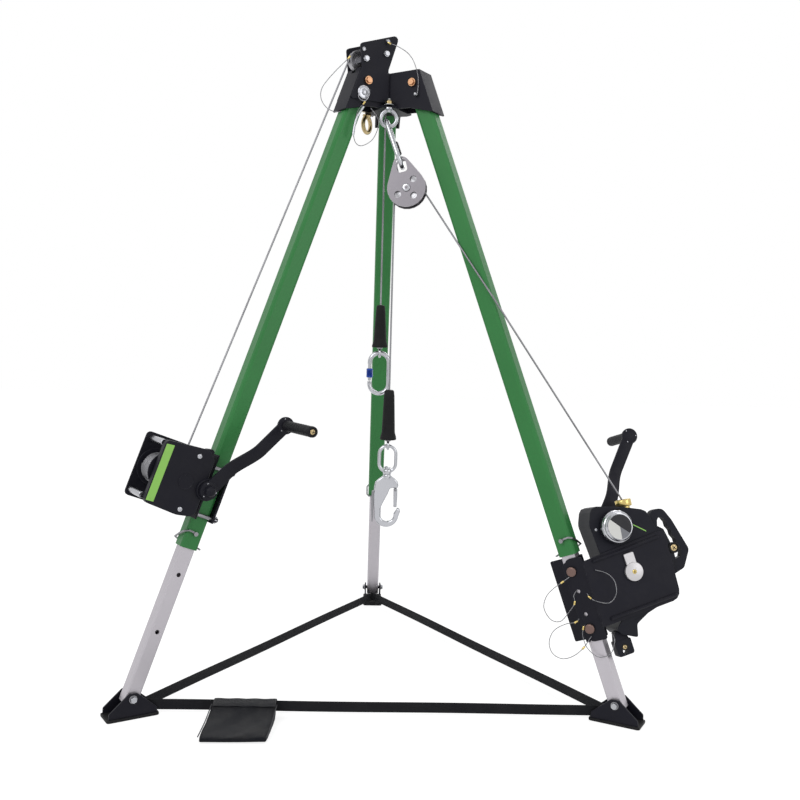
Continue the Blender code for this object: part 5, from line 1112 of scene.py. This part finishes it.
def crank_arm(label, place, reach, step, body, node):
    """A flat bar lofted from rounded sections, with its hub, end disc, rivets and domed nut."""
    rings = []
    for k in range(41):
        run = k / 40.0
        bend = min(1.0, max(0.0, (run - 0.28) / 0.36))
        set_over = step * (3 * bend ** 2 - 2 * bend ** 3)
        slope = step / (0.36 * reach) * 6 * bend * (1 - bend)
        thick = 0.0040 * sqrt(1.0 + slope * slope) * 0.98
        wide = 0.0155 + 0.0020 * (1 - run) ** 3 - 0.0006 * sin(pi * run)
        section = rounded_outline([(-thick, -wide, 0.0014), (thick, -wide, 0.0014), (thick, wide, 0.0014),
                                   (-thick, wide, 0.0014)], 2)
        rings.append([(set_over + x, reach * run, z) for x, z in section])
    arm = from_bmesh(label + "_arm", loft(rings, closed=False), powder, body, place, 40.0)
    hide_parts(node)
    end = along_x(place, step, reach, 0, -1)
    turned_piece(label + "_end", [(0.0, 0.0044), (0.0188, 0.0044), (0.0200, 0.0034), (0.0204, 0.0),
                                  (0.0200, -0.0034), (0.0188, -0.0044), (0.0, -0.0044)], powder, body,
                                  end, 56)
    hub = along_x(place, 0, 0, 0, -1)
    turned_piece(label + "_hub", [
        (0.0, 0.0190 + 0.0040), (0.0050, 0.0186 + 0.0040), (0.0088, 0.0170 + 0.0040),
        (0.0112, 0.0142 + 0.0040),
        (0.0124, 0.0100 + 0.0040), (0.0127, 0.0062), (0.0132, 0.0060), (0.0196, 0.0060), (0.0208, 0.0052),
        (0.0212, 0.0030), (0.0212, -0.0040), (0.0205, -0.0058), (0.0125, -0.0058), (0.0125, -0.0190),
        (0.0, -0.0190)], powder, body, hub, 56)
    for k in range(3):
        turn = radians(30 + 120 * k)
        for tag, base, far, tall in (("hub", hub, 0.0170, 0.0066), ("end", end, 0.0160, 0.0050)):
            rivet = base @ Matrix.Translation((far * cos(turn), far * sin(turn), 0))
            turned_piece(f"{label}_{tag}_rivet_{k}", [
                (0.0, tall), (0.0010, tall - 0.0002), (0.0016, tall - 0.0007), (0.0016, 0.0007 - tall),
                (0.0010, 0.0002 - tall), (0.0, -tall)], steel, body, rivet, 14)
    return end


def crank_grip(label, end, length, body, node):
    r = 0.0125
    wall = [(0.0, 0.0043), (r - 0.0020, 0.0043), (r, 0.0075)]
    for k in range(9):
        low = 0.012 + (length - 0.024) * k / 9.0
        wall += [(r, low), (r - 0.0003, low + 0.0012), (r - 0.0003, low + (length - 0.024) / 9.0 - 0.0012)]
    wall += [(r, length - 0.010), (r + 0.0002, length - 0.004), (r - 0.0004, length + 0.0018),
             (r - 0.0016, length + 0.0030), (r - 0.0034, length + 0.0030), (r - 0.0042, length + 0.0016),
             (0.0, length + 0.0012)]
    sleeve = turned_piece(label + "_sleeve", wall, grip_plastic, body, end, 48)
    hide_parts(node)
    crosshead(label + "_screw", end @ Matrix.Translation((0, 0, length + 0.0010)), 0.0066, yellow_zinc,
              body)


winch_end = crank_arm("winch_crank", WINCH @ Matrix.Translation((-0.0838, 0.033, -1.061))
                      @ Matrix.Rotation(radians(117.5), 4, "X"), WINCH_REACH, CRANK_SET_OVER,
                      "winch_handle", "winch_crank")
crank_grip("winch_grip", winch_end, 0.135, "winch_handle_grip", "winch_grip")
rescue_end = crank_arm("rescue_crank", BLOCK_FACE @ Matrix.Translation((-0.0968, 0.104, -1.173))
                       @ Matrix.Rotation(radians(48.6), 4, "X"), RESCUE_REACH, CRANK_SET_OVER,
                       "rescue_handle",
                       "arrester_crank")
crank_grip("rescue_grip", rescue_end, 0.120, "rescue_handle_grip", "arrester_grip")
print("cranks reach", WINCH_REACH, "and", RESCUE_REACH, "m")

# %% [markdown]
# ## Fall arrest block
# The block's housing is moulded round its drum and bolted to a ribbed steel front. Its chrome
# knob has painted reflections on its face in three parts, black, pale and grey, and a blasted lever selects raising
# or lowering.
# The brass gland guides the wire. Turned and cut pieces suit all of these.

# %% Knob, lever, gland and pins
ARREST = BLOCK_FACE
CASE_SCREW, ANCHOR_BOLT = (0.0585, -1.1654), (0.0420, -1.4437)
KNOB, LEVER, CASE_BOLT = (-0.0037, 0.104, -1.173), (0.0028, 0.113, -1.284), (0.229, -1.262)
KNOB_LINE = ((0.1476, -1.1788), (0.1768, -1.2051))
knob_at = along_x(ARREST, *KNOB)
knob = turned_piece("clutch_knob_turned", [
    (0.0, 0.0336), (0.0290, 0.0336), (0.0296, 0.0342), (0.0306, 0.0340), (0.0314, 0.0326), (0.0326, 0.0306),
    (0.0340, 0.0292), (0.0343, 0.0262), (0.0358, 0.0250), (0.0372, 0.0236), (0.0376, 0.0206),
    (0.0386, 0.0196),
    (0.0390, 0.0180), (0.0390, 0.0045), (0.0384, 0.0030), (0.0365, 0.0022), (0.010, 0.0020),
    (0.010, -0.0100),
    (0.0, -0.0100)], forged, "clutch_knob", knob_at, 72)
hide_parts("arrester_knob")
# Painted reflection: flat wedges in black, pale and grey cover the polished knob's face and stand in for what it
# mirrors.
reflection_place = ARREST @ Matrix.Translation(KNOB)
for tag, first, last, face in (("black", -48.0, 128.0, black_sleeve_and_painted_reflection), ("pale", 128.0, 262.0, pale_reflection_paint),
                               ("grey", 262.0, 312.0, grey_reflection_paint)):
    wedge = [(0.0, 0.0)] + arc((0.0, 0.0), 0.0286, first, last, 24)
    cut_plate("painted_reflection_" + tag, wedge, 0.0334, 0.0340, face, "clutch_knob", reflection_place, 0.00012)
lever_at = ARREST @ Matrix.Translation(LEVER)
lever = cut_plate("selector_strap", rounded_outline([
    (-0.0125, -0.004, 0.003), (0.0125, -0.004, 0.003), (0.0125, 0.0450, 0.003), (-0.0125, 0.0450, 0.003)]),
    -0.0025, 0.0025, lever_alloy, "selector", lever_at, 0.0008)
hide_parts("arrester_lever")
lever_face = along_x(ARREST, *LEVER)
turned_piece("selector_disc", [(0.0, 0.0044), (0.0205, 0.0044), (0.0217, 0.0038), (0.0222, 0.0024),
                               (0.0222, -0.0022), (0.0216, -0.0025), (0.0, -0.0025)], lever_alloy,
                               "selector",
             lever_face, 64)
crosshead("selector_screw", lever_face @ Matrix.Translation((0, 0, 0.0043)), 0.0056, brass, "selector")
gland = turned_piece("wire_gland", [
    (0.0085, 0.0130), (0.0178, 0.0130), (0.0190, 0.0124), (0.0197, 0.0110), (0.0197, -0.0030),
    (0.0190, -0.0040),
    (0.0140, -0.0042), (0.0140, -0.0090), (0.0042, -0.0090), (0.0042, 0.0040), (0.0085, 0.0062),
    (0.0085, 0.0130)],
    brass, "leg_right_lower", GLAND, 56)
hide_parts("arrester_gland")
turned_piece("case_bolt_ring", [(0.0, -0.0004), (0.0092, -0.0004), (0.0096, 0.0016), (0.0116, 0.0020),
                                (0.0128, 0.0008), (0.0130, -0.0100), (0.0, -0.0100)], rubber_and_painted_shade,
             "leg_right_lower", along_x(ARREST, 0.0, *CASE_BOLT), 44)
crosshead("case_bolt", along_x(ARREST, -0.0004, *CASE_BOLT), 0.0088, yellow_zinc, "leg_right_lower")
for label, high in (("upper", -1.241), ("lower", -1.378)):
    turned_piece("detent_head_" + label, [
        (0.0, 0.0293), (0.0060, 0.0292), (0.0102, 0.0288), (0.0113, 0.0278), (0.0116, 0.0262),
        (0.0116, 0.0229),
        (0.0, 0.0229)], brown_zinc, "detent_pin_" + label, along_x(LEG["right"], 0, 0, high), 44)
cut_plate("anchor_yoke", rounded_outline([
    (0.0240, -1.4275, 0.002), (0.0590, -1.4275, 0.002), (0.0520, -1.4050, 0.003),
    (0.0300, -1.4050, 0.003)]),
    -0.0410, -0.0190, powder, "leg_right_lower", ARREST, 0.0008)
cut_plate("bracket_lip", rounded_outline([
    (-0.0192, -1.4080, 0.003), (-0.0090, -1.4080, 0.002), (-0.0090, -1.2150, 0.002),
    (-0.0192, -1.2250, 0.005)]),
    0.0187, 0.0224, powder, "leg_right_lower", LEG["right"], 0.0008)
pan_head("case_screw", along_x(ARREST, -0.0042, *CASE_SCREW), 0.0036, steel, "leg_right_lower", 0.0016)
crosshead("anchor_bolt", along_x(ARREST, -0.0180, *ANCHOR_BOLT), 0.0056, yellow_zinc, "leg_right_lower")
turned_piece("anchor_bolt_washer", [(0.0, 0.0006), (0.0078, 0.0006), (0.0080, 0.0), (0.0, 0.0)], rubber_and_painted_shade,
             "leg_right_lower", along_x(ARREST, -0.0182, *ANCHOR_BOLT), 32)
cut_plate("case_line_upper", [(KNOB_LINE[0][0], KNOB_LINE[0][1] - 0.0016),
                              (KNOB_LINE[1][0], KNOB_LINE[1][1] - 0.0016),
                              (KNOB_LINE[1][0], KNOB_LINE[1][1] + 0.0016),
                              (KNOB_LINE[0][0], KNOB_LINE[0][1] + 0.0016)],
          -0.0045, -0.0036, lime, "leg_right_lower", ARREST, 0.0002)
print("knob height 34 mm, gland 40 mm across")

# %% [markdown]
# ## Foot strap and its pouch
# One webbing band runs round the three feet on edge, so that the legs can't spread. It's swept
# as a thin upright section with woven faces and thicker edges. The pouch that stores it lies on
# the floor in front. It's lofted from folded sections that sag, and the flap goes over the band.

# %% Foot strap
STRAP_RADIUS, STRAP_HIGH, STRAP_THICK = 0.6262, 0.025, 0.0018


def band_path():
    corners = [(STRAP_RADIUS * cos(radians(AZIMUTH[s])), STRAP_RADIUS * sin(radians(AZIMUTH[s])), 0.0066)
               for s in SIDES]
    flat = [Vector((x, y, 0.0)) + AXIS for x, y in rounded_outline(corners, 6)]
    return evenly(flat + [flat[0]], 0.012)[:-1]


line = band_path()
rings = []
for k, here in enumerate(line):
    ahead = (line[(k + 1) % len(line)] - line[k - 1]).normalized()
    out = Vector((ahead.y, -ahead.x, 0.0))
    wave = 0.0006 * sin(k * 0.13) + 0.0004 * sin(k * 0.041 + 1.0)
    half = STRAP_THICK / 2.0
    section = [(-half, 0.0012), (-half * 1.12, 0.0006), (0.0, 0.0), (half * 1.12, 0.0006), (half, 0.0012)]
    section += [(half, STRAP_HIGH - 0.0012), (half * 1.12, STRAP_HIGH - 0.0006), (0.0, STRAP_HIGH),
                (-half * 1.12, STRAP_HIGH - 0.0006), (-half, STRAP_HIGH - 0.0012)]
    rings.append([here + out * x + Vector((0, 0, 0.009 + z + wave)) for x, z in section])
band = from_bmesh("foot_band", loft(rings), webbing, "root", UPRIGHT, 50.0)
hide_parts("foot_strap")

# %% Pouch
POUCH = Matrix.Translation(AXIS + Vector((-0.300, -0.330, 0.0)))
fold = [(-0.0025, 0.0015), (-0.0020, 0.0180), (-0.0022, 0.0320), (-0.0060, 0.0352), (-0.0140, 0.0362),
        (-0.0240, 0.0335), (-0.0380, 0.0275), (-0.0560, 0.0225), (-0.0800, 0.0192), (-0.1050, 0.0178),
        (-0.1280, 0.0164), (-0.1430, 0.0150), (-0.1480, 0.0125), (-0.1495, 0.0085), (-0.1485, 0.0035),
        (-0.1440, 0.0012), (-0.1000, 0.0008), (-0.0500, 0.0008)]
rings = []
for k in range(29):
    run = k / 28.0
    x = -0.074 + 0.148 * run
    ends = 1.0 - 0.16 * max(0.0, abs(2 * run - 1.0) - 0.80) / 0.20
    ring = []
    for n, (y, z) in enumerate(fold):
        lift = 0.0012 * sin(7.0 * run + n * 0.9) + 0.0009 * sin(17.0 * run + 2.1 * n)
        sag = -0.0022 * sin(pi * run) * min(1.0, z / 0.02)
        skew = -0.006 * run * min(1.0, -y / 0.15)
        high = max(0.0006, z * ends + (lift + sag if z > 0.01 else 0.0))
        ring.append((x - 0.010 * (-y / 0.15), y * (0.985 + 0.015 * sin(3 * run)) - skew, high))
    rings.append(ring)
bag = from_bmesh("pouch_bag", loft(rings, closed=False), nylon, "root", POUCH, 60.0)
bag.modifiers.new("cloth_round", "SUBSURF").render_levels = 1
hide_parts("strap_pouch")
over_band = [(-0.0230, 0.0352), (-0.0120, 0.0378), (-0.0010, 0.0384), (0.0100, 0.0384), (0.0182, 0.0378),
             (0.0212, 0.0356), (0.0218, 0.0280), (0.0216, 0.0180), (0.0214, 0.0090)]
rings = []
for k in range(25):
    x = -0.0715 + 0.143 * k / 24.0
    wave = 0.0005 * sin(0.9 * k)
    outer = [(x, y, z + wave) for y, z in over_band]
    inner = [(x, y - (0.0014 if n > 4 else 0.0), z + wave - (0.0014 if n < 6 else 0.0))
             for n, (y, z) in enumerate(over_band)]
    rings.append(outer + inner[::-1])
flap = from_bmesh("pouch_flap", loft(rings, closed=False), nylon, "root", POUCH, 50.0)


def stitches(name, path, pitch, place):
    """A row of thread dashes on one line, as one piece."""
    shape = bmesh.new()
    steps = evenly(path, pitch)
    for a, b in zip(steps, steps[1:]):
        ahead = (b - a).normalized()
        side = ahead.cross(Vector((0, 0, 1))) * 0.0004
        a, b = a + ahead * pitch * 0.14, b - ahead * pitch * 0.14
        up = Vector((0, 0, 0.0006))
        ends = [[shape.verts.new(p) for p in (e - side, e + up, e + side)] for e in (a, b)]
        for n in range(3):
            m = (n + 1) % 3
            shape.faces.new((ends[0][n], ends[0][m], ends[1][m], ends[1][n]))
    return from_bmesh(name, shape, thread, "root", place, 30.0)


stitches("flap_stitch_front", [(-0.066, -0.0185, 0.0362), (0.066, -0.0185, 0.0362)], 0.0034, POUCH)
stitches("flap_stitch_back", [(-0.066, 0.0060, 0.0388), (0.066, 0.0060, 0.0388)], 0.0034, POUCH)
for tag, x, slant in (("left", -0.0745, -0.010), ("right", 0.0735, -0.010)):
    bar(f"pouch_piping_{tag}", [(x, -0.008, 0.0335), (x + slant * 0.2, -0.030, 0.0285),
                                (x + slant * 0.45, -0.065, 0.0195),
                                (x + slant * 0.75, -0.110, 0.0160), (x + slant, -0.142, 0.0135)],
                                0.0013, thread,
        "root", POUCH)
print("pouch 148 mm wide, flap over the band")

# %% [markdown]
# ## Pin lanyards
# Every loose pin on a tripod is tied on with a thin wire rope, so that it can't be dropped down a
# shaft. Each rope's eye is closed by a crimped brass ferrule. They're laid ropes on a smooth
# path, in the loops that springy wire makes.

# %% Lanyards
LANYARD_RADIUS = 0.0011


def eased(points, steps=8):
    """A smooth path through all the points."""
    points = [Vector(p) for p in points]
    held = [points[0] * 2 - points[1]] + points + [points[-1] * 2 - points[-2]]
    out = [points[0]]
    for a, b, c, d in zip(held, held[1:], held[2:], held[3:]):
        for k in range(1, steps + 1):
            t = k / steps
            out.append(0.5 * ((2 * b) + (c - a) * t + (2 * a - 5 * b + 4 * c - d) * t * t
                              + (3 * b - a - 3 * c + d) * t ** 3))
    return out


def ferrule(name, spot, toward, body):
    place = Matrix.Translation(spot) @ (toward - spot).to_track_quat("Z", "Y").to_matrix().to_4x4()
    turned_piece(name, [(0.0, -0.0046), (0.0020, -0.0046), (0.0025, -0.0036), (0.0022, 0.0),
                        (0.0025, 0.0036),
                        (0.0020, 0.0046), (0.0, 0.0046)], brass, body, place, 20)


def lanyard(name, points, carrier, pin=None, crimps=()):
    """A thin wire rope. Where it's tied to a pin, it rides on no body, and otherwise on its carrier."""
    smooth = eased(points)
    made, path = rope(name, smooth, LANYARD_RADIUS, dull_steel, None if pin else carrier, 0.0025, 0.009,
                      6, 12)
    if pin:
        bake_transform(made)
    for k, n in enumerate(crimps):
        near = min(range(1, len(path) - 1), key=lambda i: (path[i] - Vector(points[n])).length)
        ferrule(f"{name}_ferrule_{k}", path[near], path[near + 1], carrier)
    print(name, round(length_of(path), 3), "m")


lanyard("cheek_lanyard", [(-0.0686, -0.1668, 1.6033), (-0.0599, -0.1691, 1.5948), (-0.0409, -0.175, 1.5872),
                          (-0.0175, -0.1819, 1.5722), (-0.0025, -0.1865, 1.5546), (0.0067, -0.1901, 1.533),
                          (0.0118, -0.1932, 1.5129), (0.0128, -0.1966, 1.4883), (0.0099, -0.1998, 1.4653)],
        "root", None, (1,))
lanyard("left_lanyard", [(-0.1068, -0.1952, 1.4653), (-0.1233, -0.1917, 1.4511), (-0.1521, -0.1864, 1.4273),
                         (-0.1887, -0.1857, 1.4226), (-0.2108, -0.188, 1.4321), (-0.2232, -0.1923, 1.4523),
                         (-0.221, -0.1967, 1.4752), (-0.202, -0.2012, 1.501), (-0.1783, -0.2055, 1.5257),
                         (-0.1567, -0.2096, 1.5465), (-0.1476, -0.2123, 1.5593)], "root",
                         "pull_pin_left", (9,))
lanyard("pin_loop", [(-0.1067, -0.1974, 1.46), (-0.1182, -0.1942, 1.4436), (-0.1339, -0.1903, 1.4226),
                     (-0.1422, -0.1823, 1.3779), (-0.1369, -0.1778, 1.3511), (-0.121, -0.1766, 1.344),
                     (-0.0962, -0.1794, 1.3584), (-0.083, -0.1847, 1.3857), (-0.0836, -0.1895, 1.4093),
                     (-0.1014, -0.1943, 1.4322)], "pull_pin_left", None, (1,))
bar("pin_tab", [(-0.1190, -0.2030, 1.4330), (-0.1275, -0.2068, 1.4190), (-0.1344, -0.2091, 1.4070),
                (-0.1409, -0.2136, 1.3817), (-0.1424, -0.2168, 1.3620)], 0.0030, steel, "pull_pin_left")
lanyard("upper_pin_lanyard", [(0.3878, -0.4065, 0.3307), (0.3735, -0.4049, 0.3186),
                              (0.3518, -0.4028, 0.301),
                              (0.3361, -0.4029, 0.2812), (0.3316, -0.407, 0.2558), (0.347, -0.4145, 0.2316),
                              (0.369, -0.4179, 0.2285), (0.3878, -0.4139, 0.2473),
                              (0.4031, -0.4084, 0.2696),
                              (0.4008, -0.4068, 0.2872), (0.4093, -0.4083, 0.3023),
                              (0.423, -0.4138, 0.3055),
                              (0.4341, -0.4263, 0.2888), (0.4531, -0.4337, 0.2808),
                              (0.4775, -0.4404, 0.2813),
                              (0.4919, -0.4391, 0.3016), (0.4888, -0.4316, 0.3297),
                              (0.4713, -0.4236, 0.3461),
                              (0.4465, -0.4168, 0.3515)], "leg_right_lower", "detent_pin_upper", (1, 8, 12))
lanyard("lower_pin_lanyard", [(0.4392, -0.4361, 0.1999), (0.4212, -0.4392, 0.1731),
                              (0.3977, -0.4392, 0.1531),
                              (0.3727, -0.4352, 0.1456), (0.3515, -0.4264, 0.1556),
                              (0.3452, -0.4164, 0.1787),
                              (0.3565, -0.4095, 0.2035), (0.3825, -0.4089, 0.219),
                              (0.4081, -0.4112, 0.2259),
                              (0.4191, -0.41, 0.241), (0.428, -0.4112, 0.2453), (0.435, -0.4151, 0.239),
                              (0.4237, -0.4203, 0.2168)], "leg_right_lower", "detent_pin_lower", (1, 8))
lanyard("anchor_lanyard", [(0.4232, -0.4223, 0.2174), (0.4212, -0.4255, 0.1981), (0.432, -0.4331, 0.1703),
                           (0.4569, -0.4411, 0.1527), (0.4825, -0.4422, 0.1592), (0.4925, -0.4366, 0.1762),
                           (0.4954, -0.4296, 0.193), (0.4891, -0.4227, 0.204)], "leg_right_lower", None,
                           (0,))
